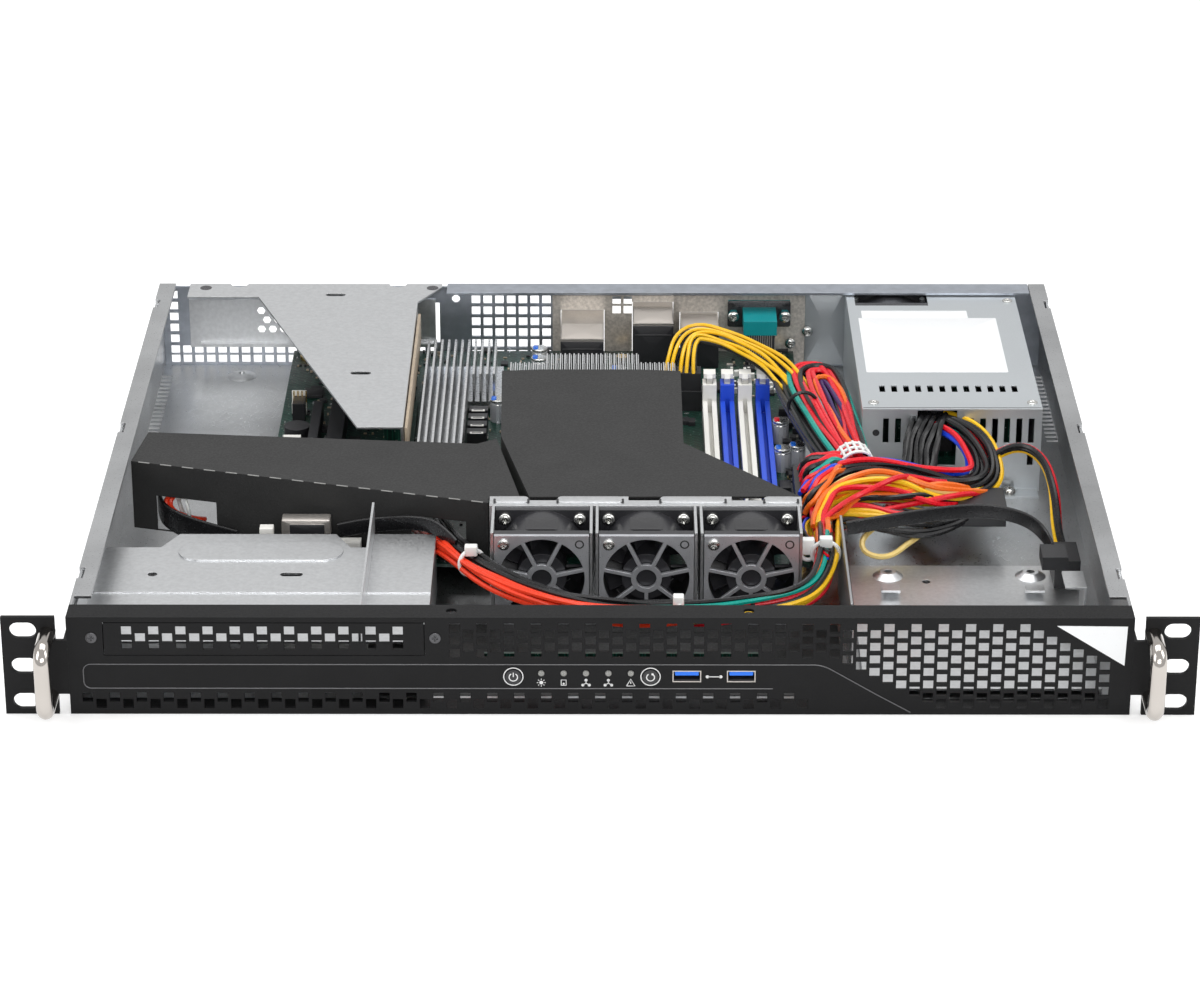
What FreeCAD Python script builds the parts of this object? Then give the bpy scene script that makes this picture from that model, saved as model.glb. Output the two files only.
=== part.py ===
"""Short 1U rack server with its top cover off, as a parametric assembly.

Axes: +X to the right seen from the front, +Y towards the rear, +Z up.  The origin is the
middle of the lower front edge of the bezel.  All lengths are millimetres.
"""
import FreeCAD, Part
import Sketcher

import math
import os
import re

V = FreeCAD.Vector
DOC = FreeCAD.newDocument("rack_server")

SIZES = {
    # Folded chassis
    "chassis_width": 430.0, "chassis_depth": 370.0, "body_height": 43.5, "sheet": 1.2,
    "lip_width": 8.0, "lip_start": 20.0, "notch_length": 10.5, "notch_width": 2.6,
    "notch_front": 42.0, "notch_middle": 193.0, "notch_rear": "chassis_depth - 26.5",
    "vent_first": "chassis_depth - 94", "vent_pitch": 4.85, "vent_count": 17, "vent_width": 2.3,
    "vent_reach": 5.0, "vent_rise": 2.4,
    # Motherboard
    "board_side": 244.0, "board_right": 93.5, "board_left": "board_right - board_side",
    "board_back": "chassis_depth - 2", "board_front": "board_back - board_side",
    "board_bottom": 7.4,
    # Front bezel and its square perforations
    "bezel_depth": 12.0, "bezel_sheet": 1.5, "hole_side": 4.2, "hole_pitch": 5.47,
    "row_pitch": 5.65, "field_left": -58.6, "field_top": 38.8, "field_columns": 49,
    "strip_left": -207.8, "strip_row": 7.6, "strip_drop": 2.9, "strip_columns": 54,
    "panel_top": 22.5, "slope_x": 98.5, "slope_z": 16.5, "slope_rate": 0.543,
    "hole_margin": 4.6, "hole_floor": 4.0, "corner_x": 183.8, "corner_z": 40.2,
    "corner_rate": 0.638, "corner_margin": 4.0,
    "flange_screw": 60.0, "flange_hole": 2.2, "flange_row": 6.5,
    "bay_left": -200.4, "bay_right": -70.7, "bay_bottom": 26.4, "bay_top": 41.3,
    "cover_gap": 0.3, "cover_tab": 3.6, "cover_sheet": 1.0, "cover_first": -190.9,
    "cover_columns": 21, "cover_top_row": 37.4, "cover_row_pitch": 6.2,
    # Rack ears and pull handles
    "slot_offset": 17.55, "slot_low": 5.875, "slot_step": 15.875, "slot_long": 10.9,
    "slot_wide": 7.0, "ear_start": 4.6, "ear_margin": 3.3, "ear_sheet": 2.0,
    "neck_low": 9.0, "neck_high": 33.0, "ear_leg": 45.0, "bracket_sheet": 1.6,
    "handle_offset": 7.9, "handle_low": 8.0, "handle_high": 36.0, "handle_radius": 3.4,
    "handle_reach": 18.0, "handle_bend": 6.0, "handle_bolt": 1.9, "bolt_gap": 0.1,
    "bolt_head": 3.2, "bolt_head_high": 1.6,
    # Front controls
    "button_radius": 3.2, "button_gap": 0.2, "button_travel": 0.8, "button_proud": 0.6,
    "button_rim": 1.0, "rim_thick": 1.0, "power_x": -35.1, "reset_x": 20.4, "button_z": 17.1,
    "light_first": -23.8, "light_pitch": 9.05, "light_z": 18.6, "light_radius": 1.25,
    "light_gap": 0.1, "light_proud": 0.2,
    "usb_left": 35.1, "usb_right": 57.1, "usb_z": 17.1, "usb_wide": 11.8, "usb_high": 5.4,
    "usb_shell": 0.4, "tongue": 1.8, "switch_side": 6.0,
    "front_board_left": -47.0, "front_board_right": 70.0, "front_board_y": 8.0,
    "front_board_low": 10.5, "front_board_high": 23.5, "board_sheet": 1.6,
    # Slim drive shelf, at the left of the front
    "shelf_top": 27.5, "shelf_sheet": 1.0, "shelf_rear": "board_front - 23",
    "shelf_hump": "board_front - 9.5",
    "shelf_step": 57.0, "shelf_drop": 0.6, "hump_left": -180.6, "hump_right": -113.6,
    "shoulder": 7.0, "divider_x": -98.2, "divider_rear": "board_front - 4", "divider_top": 40.0,
    "emboss_left": -179.5, "emboss_right": -109.5, "emboss_y": "shelf_rear - 4.7", "emboss_wide": 18.0,
    "emboss_rise": 0.6, "shelf_hole_x": -188.4, "shelf_hole_y": 74.2, "shelf_hole_radius": 2.0,
    "shelf_slot_x": -129.9, "oval_long": 9.5, "oval_wide": 3.6,
    # Hard drive tray, at the right of the front
    "tray_left": 108.0, "tray_right": 205.0, "tray_front": 13.5, "tray_rear": 131.0,
    "tray_top": 5.0, "tray_sheet": 1.0, "dimple_left": 124.4, "dimple_right": 186.12,
    "dimple_y": 120.7, "dimple_base": 6.6, "dimple_head": 3.4, "dimple_rise": 2.2,
    "dimple_hole": 1.7, "tab_y": 101.8, "tab_wide": 8.0, "tab_deep": 6.0, "tab_rise": 2.4,
    "tray_hole_x": 140.6, "tray_hole_y": 114.7, "tray_hole": 1.8,
    "side_x": 102.6, "side_front": 31.0, "side_rear": 118.0, "side_top": 35.0,
    "clip_front": 76.0, "clip_rear": 92.0, "clip_top": 20.0, "clip_lip": 9.0,
    # 40 mm fans, their guards and the bracket behind them
    "fan_side": 40.0, "fan_depth": 28.0, "fan_first": -24.9, "fan_pitch": 44.3, "fan_count": 3,
    "fan_to_board": 12.2,
    "fan_rear": "board_front - fan_to_board", "fan_low": 1.8, "fan_bore": 18.6, "fan_flange": 3.6, "fan_tube": 19.6,
    "hub_radius": 10.5, "tip_gap": 0.5, "shaft_radius": 1.5, "shaft_gap": 0.05,
    "spider_depth": 4.0, "strut_wide": 2.2, "blade_count": 7, "blade_sheet": 1.2,
    "rotor_gap": 0.6, "screw_spacing": 32.0, "screw_radius": 1.6,
    "guard_sheet": 1.8, "guard_hub": 6.5, "guard_eye": 4.3,
    "guard_spokes": 7, "spoke_wide": 1.6, "bracket_left": -47.6, "bracket_right": 86.1,
    "bracket_depth": 9.5, "bracket_top": 42.3, "bracket_tab": 15.0, "bracket_gap": 0.3,
    "bracket_reach": 27.8,
    # Standoffs under the motherboard
    "standoff_radius": 2.6, "standoff_bolt": 1.5, "standoff_head": 2.8,
    "standoff_middle": 83.6, "standoff_inset_x": 6.4, "standoff_inset_y": 10.2,
    # Memory sockets and their latches
    "dimm_first": 50.7, "dimm_pitch": 8.3, "dimm_count": 4, "dimm_wide": 6.5,
    "dimm_front": "board_back - 216", "dimm_back": "dimm_front + 132", "dimm_high": 9.0, "dimm_slot": 2.0,
    "dimm_slot_deep": 6.0, "tower_long": 8.0, "tower_high": 17.0,
    "latch_wide": 2.7, "latch_play": 0.15, "latch_pin": 1.0, "pin_gap": 0.06, "latch_pin_high": 4.0,
    "latch_top": 21.5, "latch_head": 5.6,
    # Round parts on the board
    "buzzer_radius": 6.0, "buzzer_high": 7.0, "can_radius": 3.75, "can_high": 11.0,
    # Heat sinks
    "cooler_left": -42.6, "cooler_right": 35.2, "cooler_front": "board_back - 172",
    "cooler_back": "cooler_front + 92", "cooler_neck_left": -26.4, "cooler_neck_right": 18.3,
    "cooler_neck_back": "cooler_back + 11", "cooler_base": 14.0, "cooler_base_high": 3.0,
    "cooler_top": 36.0, "fin_pitch": 2.1, "fin_sheet": 0.6, "socket_high": 4.0,
    "cooler_core": 30.0, "chip_left": -83.0, "chip_right": -47.0,
    "chip_front": "board_back - 80", "chip_back": "chip_front + 43", "chip_arm": 20.2,
    "chip_arm_front": "board_back - 166", "chip_base": 13.0, "chip_base_high": 3.0,
    "chip_top": 30.0, "chip_pitch": 3.2, "chip_sheet": 1.0, "chip_side": 22.0, "chip_inset": 8.0,
    # Air ducts
    "duct_top": 41.2, "duct_sheet": 1.0, "side_duct_skirt": 32.0, "cpu_duct_skirt": 30.0,
    "duct_short_skirt": 8.0,
    "window_left": -195.5, "window_right": -168.5, "window_low": 9.5, "window_high": 26.0,
    "gate_left": -82.0, "gate_right": -58.0, "gate_high": 31.0,
    # Riser
    "riser_left": -200.0, "riser_right": -77.5, "riser_inner": -88.5,
    "riser_shoulder": "chassis_depth - 24", "riser_front": "chassis_depth - 176",
    "riser_toe": -108.9, "riser_knee": -165.6, "riser_step": "chassis_depth - 17",
    "riser_fold": 11.0, "riser_card_front": "riser_front + 5", "riser_card_low": 13.0,
    "slot_left": -199.0, "slot_right": -79.0, "slot_bottom": 13.0, "slot_top": 34.0,
    "slot_lap": 2.0,
    # Rear panel and ports
    "rear_flange": 12.0, "rear_flange_left": -75.0, "lip_gap": 0.3,
    "grid_left": -61.3,
    "grid_low": 7.0, "grid_count": 7, "grid_pitch": 5.72, "grid_hole": 4.2,
    "rear_column": -208.6, "rear_row": 9.3, "rear_low_row": 4.4, "rear_rows": 5,
    "io_left": -24.0, "io_right": 99.0, "io_low": 3.0, "io_high": 38.0, "io_sheet": 0.6,
    "io_margin": 2.0, "port_gap": 0.3, "round_hole_x": -71.0, "round_hole_z": 36.0,
    "round_hole": 2.0, "rear_port_proud": 0.4,
    # Power supply
    "psu_left": 118.1, "psu_right": 199.6, "psu_front": "chassis_depth - 151", "psu_low": 1.2,
    "psu_high": 41.7, "psu_sheet": 0.8, "psu_exit_left": 143.0, "psu_exit_right": 161.0,
    "psu_exit_low": 14.0, "psu_slots": 12, "psu_slot_first": 128.4, "psu_slot_y": "psu_front + 23.8",
   
    "psu_slot_long": 7.6, "psu_slot_wide": 2.6, "psu_notch_left": 122.0,
    "psu_notch_right": 157.0, "psu_notch_front": "chassis_depth - 24", "psu_fan_x": 139.5,
    "psu_fan_depth": 20.0, "inlet_left": 164.0, "inlet_wide": 28.0, "inlet_high": 20.5,
    "inlet_deep": 22.0, "inlet_low": 10.0,
    # Cables: radii of the round bundles
    "trunk_radius": 4.6, "front_radius": 3.6, "cpu_radius": 2.8, "bay_radius": 2.4,
    "sata_radius": 2.6, "power_radius": 2.6, "branch_radius": 2.4, "power_plug_high": 13.0,
}

sheet = DOC.addObject("Spreadsheet::Sheet", "dims")
for line, (alias, amount) in enumerate(SIZES.items(), start=1):
    sheet.set(f"A{line}", alias)
    sheet.set(f"B{line}", f"={amount}")
    sheet.setAlias(f"B{line}", alias)
DOC.recompute()

HALF = "(chassis_width/2)"
WALL = "(chassis_width/2 - sheet)"
REAR_FACE = "(chassis_depth - sheet)"
BOARD = "(board_bottom + board_sheet)"
ROUND = {
    "x": FreeCAD.Rotation(V(0, 1, 0), 90),
    "y": FreeCAD.Rotation(V(1, 0, 0), -90),
    "z": FreeCAD.Rotation(),
}
NODES = []


def formula(text):
    """Write the sheet's name before each of its aliases in the text."""
    def qualify(word):
        return "dims." + word.group(0) if word.group(0) in SIZES else word.group(0)
    return re.sub(r"[a-z_][a-z0-9_]*", qualify, str(text))


def size(text):
    """Number that a formula of aliases comes to, read from the sheet."""
    return float(sheet.evalExpression(formula(text)))


def bind(item, slot, text):
    item.setExpression(slot, formula(text))


def block(name, x, y, z):
    """Box between a low and a high formula on each axis."""
    item = DOC.addObject("Part::Box", name)
    for side, axis, (low, high) in zip(("Length", "Width", "Height"), "xyz", (x, y, z)):
        bind(item, side, f"({high}) - ({low})")
        bind(item, "Placement.Base." + axis, low)
    return item


def rod(name, axis, radius, place, length):
    """Cylinder that starts at a place and runs along an axis."""
    item = DOC.addObject("Part::Cylinder", name)
    item.Placement = FreeCAD.Placement(V(), ROUND[axis])
    bind(item, "Radius", radius)
    bind(item, "Height", length)
    for letter, text in zip("xyz", place):
        bind(item, "Placement.Base." + letter, text)
    return item


def prism(name, axis, sides, radius, place, length):
    """Regular prism that starts at a place and runs along an axis."""
    item = DOC.addObject("Part::Prism", name)
    item.Placement = FreeCAD.Placement(V(), ROUND[axis])
    item.Polygon = sides
    bind(item, "Circumradius", radius)
    bind(item, "Height", length)
    for letter, text in zip("xyz", place):
        bind(item, "Placement.Base." + letter, text)
    return item


def group(name, items):
    """Separate solids kept side by side in one object."""
    item = DOC.addObject("Part::Compound", name)
    item.Links = items
    return item


def fuse(name, items):
    item = DOC.addObject("Part::MultiFuse", name)
    item.Shapes = items
    return item


def cut(name, base, tools):
    """Base less its tools, which don't touch each other."""
    item = DOC.addObject("Part::Cut", name)
    item.Base = base
    item.Tool = tools[0] if len(tools) == 1 else group(name + "_cutters", tools)
    return item


def common(name, base, tool):
    item = DOC.addObject("Part::Common", name)
    item.Base = base
    item.Tool = tool
    return item


def feature(name, shape):
    """Object whose shape is worked out with Part's own functions."""
    item = DOC.addObject("Part::Feature", name)
    item.Shape = shape
    return item


def node(item, name):
    """Name a finished sub-part and list it for export."""
    item.Label = name
    NODES.append(item)
    return item


def draw_loop(sketch, corners):
    """Closed polygon whose corners are bound to formulas."""
    first = sketch.GeometryCount
    numbers = [(size(across), size(up)) for across, up in corners]
    for start, end in zip(numbers, numbers[1:] + numbers[:1]):
        sketch.addGeometry(Part.LineSegment(V(*start, 0), V(*end, 0)))
    count = len(corners)
    for step, (across, up) in enumerate(corners):
        edge = first + step
        following = first + (step + 1) % count
        sketch.addConstraint(Sketcher.Constraint("Coincident", edge, 2, following, 1))
        for kind, text, number in zip(("DistanceX", "DistanceY"), (across, up), numbers[step]):
            place = sketch.addConstraint(Sketcher.Constraint(kind, -1, 1, edge, 1, number))
            sketch.setExpression(f"Constraints[{place}]", formula(text))


def extrusion(name, role, loops, start, depth):
    """Body padded from closed loops drawn on one of its origin planes.

    A pad from XY_Plane runs up, from XZ_Plane to the rear and from YZ_Plane to the right.
    """
    body = DOC.addObject("PartDesign::Body", name)
    plane = next(face for face in body.Origin.OriginFeatures if face.Role == role)
    sketch = body.newObject("Sketcher::SketchObject", name + "_outline")
    sketch.AttachmentSupport = [(plane, "")]
    sketch.MapMode = "FlatFace"
    backwards = role == "XZ_Plane"
    bind(sketch, "AttachmentOffset.Base.z", f"-({start})" if backwards else start)
    for corners in loops:
        draw_loop(sketch, corners)
    pad = body.newObject("PartDesign::Pad", name + "_pad")
    pad.Profile = sketch
    pad.Reversed = backwards
    bind(pad, "Length", depth)
    return body


def square_holes(name, centres, side, y):
    """Square cutters through an upright sheet, at numbers worked out by a rule."""
    half, low, depth = size(side) / 2, size(y[0]), size(y[1]) - size(y[0])
    cutters = [
        Part.makeBox(2 * half, depth, 2 * half, V(across - half, low, up - half))
        for across, up in centres
    ]
    return feature(name, Part.makeCompound(cutters))


def slot_cutter(name, axis, centre, along, length, width, depth):
    """Round-ended slot along x, cut through a sheet along an axis."""
    reach = f"(({length}) - ({width}))/2"
    x, y, z = centre
    ends = [
        rod(f"{name}_{side}", axis, f"({width})/2", (f"({x}) {sign} {reach}", y, z), depth)
        for side, sign in (("left", "-"), ("right", "+"))
    ]
    if axis == "y":
        spans = ((y, f"({y}) + ({depth})"), (f"({z}) - ({width})/2", f"({z}) + ({width})/2"))
    else:
        spans = ((f"({y}) - ({width})/2", f"({y}) + ({width})/2"), (z, f"({z}) + ({depth})"))
    middle = block(name + "_middle", (f"({x}) - {reach}", f"({x}) + {reach}"), *spans)
    return fuse(name, ends + [middle])


def rounded_path(points, radius=None):
    """Straight runs joined by tangent arcs, with the radius of each arc.

    Without a radius each arc is as large as 0.45 of the shorter run beside it allows.
    """
    places = [V(*point) for point in points]
    edges, radii, start = [], [], places[0]
    for before, corner, after in zip(places, places[1:], places[2:]):
        back, ahead = (before - corner), (after - corner)
        shorter = min(back.Length, ahead.Length)
        back.normalize()
        ahead.normalize()
        turn = math.pi - back.getAngle(ahead)
        reach = radius * math.tan(turn / 2) if radius else 0.45 * shorter
        radii.append(reach / math.tan(turn / 2))
        leave, join = corner + back * reach, corner + ahead * reach
        middle = back + ahead
        middle.normalize()
        bulge = radii[-1] / math.cos(turn / 2) - radii[-1]
        edges.append(Part.LineSegment(start, leave).toShape())
        edges.append(Part.Arc(leave, corner + middle * bulge, join).toShape())
        start = join
    edges.append(Part.LineSegment(start, places[-1]).toShape())
    return Part.Wire(edges), radii


def tube(points, radius, bend=None, report=None):
    """Round solid carried along a rounded path."""
    path, radii = rounded_path(points, bend)
    direction = V(*points[1]) - V(*points[0])
    ring = Part.Wire([Part.makeCircle(radius, V(*points[0]), direction)])
    solid = path.makePipeShell([ring], True, False)
    if report:
        share = solid.Volume / (math.pi * radius**2 * path.Length)
        print(f"{report}: length {path.Length:.1f}, radii",
              " ".join(f"{value:.0f}" for value in radii), f"volume share {share:.3f}")
    return solid


# --- Chassis ---------------------------------------------------------------------------

def chassis_tray():
    """Floor and side walls from one sheet, with lips that hold the cover."""
    top, inner = "body_height", "(body_height - sheet)"
    lip = f"({HALF} - lip_width)"
    profile = [
        (f"-{HALF}", "0"), (HALF, "0"), (HALF, top), (lip, top), (lip, inner), (WALL, inner),
        (WALL, "sheet"), (f"-{WALL}", "sheet"), (f"-{WALL}", inner), (f"-{lip}", inner),
        (f"-{lip}", top), (f"-{HALF}", top),
    ]
    folded = extrusion("folded_tray", "XZ_Plane", [profile], "bezel_depth",
                       "chassis_depth - bezel_depth")
    cutters = []
    for side, sign in (("left", "-"), ("right", "")):
        ends = (lambda low, high: (f"-{high}", f"-{low}") if sign else (low, high))
        cutters.append(block(f"lip_end_{side}", ends(lip, WALL), ("bezel_depth", "lip_start"),
                             (inner, top)))
        for place in ("front", "middle", "rear"):
            cutters.append(block(
                f"notch_{place}_{side}", ends(f"({HALF} - notch_width)", HALF),
                (f"notch_{place} - notch_length/2", f"notch_{place} + notch_length/2"),
                (f"{inner} - sheet", top)))
        for number in range(int(SIZES["vent_count"])):
            start = f"(vent_first + {number}*vent_pitch)"
            cutters.append(block(
                f"vent_{side}_{number}", ends(f"({WALL} - vent_reach)", HALF),
                (f"{start} - vent_width/2", f"{start} + vent_width/2"),
                ("0", "sheet + vent_rise")))
    node(cut("chassis_tray", folded, cutters), "chassis_tray")


def rear_panel():
    """Back wall with its top flange, square perforations and openings."""
    wall = block("rear_wall", (f"-{WALL}", WALL), (REAR_FACE, "chassis_depth"),
                 ("sheet", "body_height - sheet"))
    flange = block("rear_top_flange", ("rear_flange_left", f"{HALF} - lip_width - lip_gap"),
                   ("chassis_depth - rear_flange", "chassis_depth"),
                   ("body_height - sheet", "body_height"))
    through = (f"{REAR_FACE} - 1", "chassis_depth + 1")
    openings = [
        block("slot_opening", ("slot_left", "slot_right"), through,
              ("slot_bottom", "slot_top")),
        block("io_opening", ("io_left + io_margin", "io_right - io_margin"), through,
              ("io_low + io_margin", "io_high - io_margin")),
        block("psu_opening", ("psu_left + io_margin", "psu_right - io_margin"), through,
              ("psu_low + 3", "psu_high - 3")),
        rod("round_opening", "y", "round_hole", ("round_hole_x", through[0], "round_hole_z"),
            "sheet + 2"),
    ]
    pitch = size("grid_pitch")
    grid = range(int(SIZES["grid_count"]))
    centres = [(size("grid_left") + across * pitch, size("grid_low") + up * pitch)
               for across in grid for up in grid]
    column, row = size("rear_column"), size("rear_row")
    centres += [(column, row + up * pitch) for up in range(1, int(SIZES["rear_rows"]) + 1)]
    across = column
    while across < size("slot_right"):
        centres.append((across, row))
        across += pitch
    centres += [(column + step * pitch, size("rear_low_row")) for step in range(12)]
    openings.append(square_holes("rear_perforation", centres, "grid_hole", through))
    node(cut("rear_panel", fuse("rear_sheet", [wall, flange]), openings), "rear_panel")


def front_bezel():
    """Shallow steel pan with the square perforations and the control openings."""
    outer = block("bezel_outer", (f"-{HALF}", HALF), ("0", "bezel_depth"),
                  ("0", "body_height"))
    inner = block("bezel_inner", (f"-{WALL}", WALL), ("bezel_sheet", "bezel_depth + 1"),
                  ("sheet", "body_height - sheet"))
    pan = cut("bezel_pan", outer, [inner])
    through = ("-1", "bezel_sheet + 1")
    openings = [
        block("bay_opening", ("bay_left", "bay_right"), through, ("bay_bottom", "bay_top"))]
    for name in ("power", "reset"):
        openings.append(rod(f"{name}_opening", "y", "button_radius + button_gap",
                            (f"{name}_x", "-1", "button_z"), "bezel_sheet + 2"))
    for number in range(5):
        openings.append(rod(f"light_opening_{number}", "y", "light_radius + light_gap",
                            (f"light_first + {number}*light_pitch", "-1", "light_z"),
                            "bezel_sheet + 2"))
    for name in ("usb_left", "usb_right"):
        openings.append(block(
            f"{name}_opening", (f"{name} - usb_wide/2", f"{name} + usb_wide/2"), through,
            ("usb_z - usb_high/2", "usb_z + usb_high/2")))
    for side in ("-", ""):
        openings.append(rod(f"flange_opening{side.replace('-', '_left')}", "z", "flange_hole",
                            (f"{side}flange_screw", "flange_row", "body_height - sheet - 1"),
                            "sheet + 2"))
    openings.append(square_holes("bezel_perforation", bezel_hole_centres(), "hole_side",
                                 through))
    node(cut("front_bezel", pan, openings), "front_bezel")


def bezel_hole_centres():
    """Staggered squares above the control panel's edge, and one row pair below it.

    The field stops short of the sloping panel edge and of the bare upper right corner.
    """
    pitch, rise = size("hole_pitch"), size("row_pitch")
    centres = []
    for number in range(int(SIZES["field_columns"])):
        across = size("field_left") + number * pitch
        edge = size("slope_z") - size("slope_rate") * (across - size("slope_x"))
        low = max(min(edge, size("panel_top")) + size("hole_margin"), size("hole_floor"))
        corner = size("corner_z") - size("corner_rate") * (across - size("corner_x"))
        high = corner - size("corner_margin") if across > size("corner_x") - 3 else math.inf
        up = size("field_top") - (number % 2) * rise / 2
        while up > low:
            if up < high:
                centres.append((across, up))
            up -= rise
    for number in range(int(SIZES["strip_columns"])):
        centres.append((size("strip_left") + number * pitch,
                        size("strip_row") - (number % 2) * size("strip_drop")))
    return centres


def drive_bay_cover():
    """Perforated blank in the drive bay opening, held by tabs behind the bezel."""
    plate = block("cover_plate", ("bay_left + cover_gap", "bay_right - cover_gap"),
                  ("0", "bezel_sheet"), ("bay_bottom + cover_gap", "bay_top - cover_gap"))
    tabs = [
        block("cover_tab_left", ("bay_left - cover_tab", "bay_left + cover_tab"),
              ("bezel_sheet", "bezel_sheet + cover_sheet"), ("bay_bottom + 2", "bay_top - 2")),
        block("cover_tab_right", ("bay_right - cover_tab", "bay_right + cover_tab"),
              ("bezel_sheet", "bezel_sheet + cover_sheet"), ("bay_bottom + 2", "bay_top - 2")),
    ]
    centres = []
    for number in range(int(SIZES["cover_columns"])):
        across = size("cover_first") + number * size("hole_pitch")
        drop = size("cover_row_pitch") * (number % 2) / 2
        centres.append((across, size("cover_top_row") - drop))
        if number % 2 == 0:
            centres.append((across, size("cover_top_row") - size("cover_row_pitch")))
    holes = square_holes("cover_perforation", centres, "hole_side", ("-1", "bezel_sheet + 1"))
    node(cut("drive_bay_cover", fuse("cover_body", [plate] + tabs), [holes]),
         "drive_bay_cover")


def rack_ears():
    """Front plates with three slots each, on legs along the chassis walls."""
    for side, sign in (("left", "-"), ("right", "")):
        span = (lambda low, high: (f"-({high})", f"-({low})") if sign else (low, high))
        inner = f"{HALF} + ear_start"
        outer = f"{HALF} + slot_offset + slot_long/2 + ear_margin"
        plate = block(f"ear_plate_{side}", span(inner, outer),
                      ("0", "ear_sheet"), ("0", "body_height"))
        neck = block(f"ear_neck_{side}", span(HALF, inner),
                     ("0", "ear_sheet"), ("neck_low", "neck_high"))
        leg = block(f"ear_leg_{side}", span(HALF, f"{HALF} + bracket_sheet"),
                    ("ear_sheet", "ear_leg"), ("neck_low", "neck_high"))
        cutters = [
            slot_cutter(f"rack_slot_{side}_{number}", "y",
                        (f"{sign}({HALF} + slot_offset)", "-1", f"slot_low + {number}*slot_step"),
                        "x", "slot_long", "slot_wide", "ear_sheet + 2")
            for number in range(3)]
        for height in ("handle_low", "handle_high"):
            cutters.append(rod(f"bolt_hole_{side}_{height}", "y", "handle_bolt + bolt_gap",
                               (f"{sign}({HALF} + handle_offset)", "-1", height), "ear_sheet + 2"))
        body = fuse(f"ear_body_{side}", [plate, neck, leg])
        node(cut(f"rack_ear_{side}", body, cutters), f"rack_ear_{side}")


def pull_handles():
    """Bent round rods with a bolt head behind each foot."""
    for side, sign in (("left", -1), ("right", 1)):
        across = sign * size(f"{HALF} + handle_offset")
        low, high = size("handle_low"), size("handle_high")
        reach = -size("handle_reach")
        points = [(across, 0, low), (across, reach, low), (across, reach, high),
                  (across, 0, high)]
        solid = tube(points, size("handle_radius"), size("handle_bend"))
        for height in (low, high):
            solid = solid.fuse(Part.makeCylinder(size("handle_bolt"), size("ear_sheet"),
                                                 V(across, 0, height), V(0, 1, 0)))
            solid = solid.fuse(Part.makeCylinder(size("bolt_head"), size("bolt_head_high"),
                                                 V(across, size("ear_sheet"), height),
                                                 V(0, 1, 0)))
        node(feature(f"pull_handle_{side}", solid), f"pull_handle_{side}")


# --- Front controls --------------------------------------------------------------------

def front_controls():
    board_y = ("front_board_y", "front_board_y + board_sheet")
    board = block("front_circuit", ("front_board_left", "front_board_right"), board_y,
                  ("front_board_low", "front_board_high"))
    parts = [board]
    for name in ("power", "reset"):
        parts.append(block(
            f"{name}_switch", (f"{name}_x - switch_side/2", f"{name}_x + switch_side/2"),
            ("bezel_sheet + rim_thick + button_travel + 0.3", "front_board_y"),
            ("button_z - switch_side/2", "button_z + switch_side/2")))
    for side, place in (("left", "front_board_left + 3"), ("right", "front_board_right - 3")):
        parts.append(rod(f"board_post_{side}", "y", "1.8", (place, "bezel_sheet", "button_z"),
                         "front_board_y - bezel_sheet"))
    node(fuse("front_board", parts), "front_board")

    for name in ("power", "reset"):
        cap = rod(f"{name}_cap", "y", "button_radius",
                  (f"{name}_x", "-button_proud", "button_z"), "button_proud + bezel_sheet")
        rim = rod(f"{name}_rim", "y", "button_radius + button_rim",
                  (f"{name}_x", "bezel_sheet", "button_z"), "rim_thick")
        node(fuse(f"{name}_button", [cap, rim]), f"{name}_button")

    lights = [rod(f"light_{number}", "y", "light_radius",
                  (f"light_first + {number}*light_pitch", "-light_proud", "light_z"),
                  "front_board_y + light_proud") for number in range(5)]
    node(group("status_lights", lights), "status_lights")

    sockets = []
    for name in ("usb_left", "usb_right"):
        wide, high = "(usb_wide/2 - 0.1)", "(usb_high/2 - 0.1)"
        shell = block(f"{name}_shell", (f"{name} - {wide}", f"{name} + {wide}"),
                      ("0.2", "front_board_y"), (f"usb_z - {high}", f"usb_z + {high}"))
        mouth = block(f"{name}_mouth",
                      (f"{name} - {wide} + usb_shell", f"{name} + {wide} - usb_shell"),
                      ("-1", "front_board_y - 1"),
                      (f"usb_z - {high} + usb_shell", f"usb_z + {high} - usb_shell"))
        tongue = block(f"{name}_tongue", (f"{name} - {wide} + 1.2", f"{name} + {wide} - 1.2"),
                       ("1.2", "front_board_y"),
                       (f"usb_z + {high} - usb_shell - tongue - 0.3", f"usb_z + {high} - 0.7"))
        sockets.append(fuse(f"{name}_socket", [cut(f"{name}_can", shell, [mouth]), tongue]))
    node(group("usb_ports", sockets), "usb_ports")


# --- Drive shelves ---------------------------------------------------------------------

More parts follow.
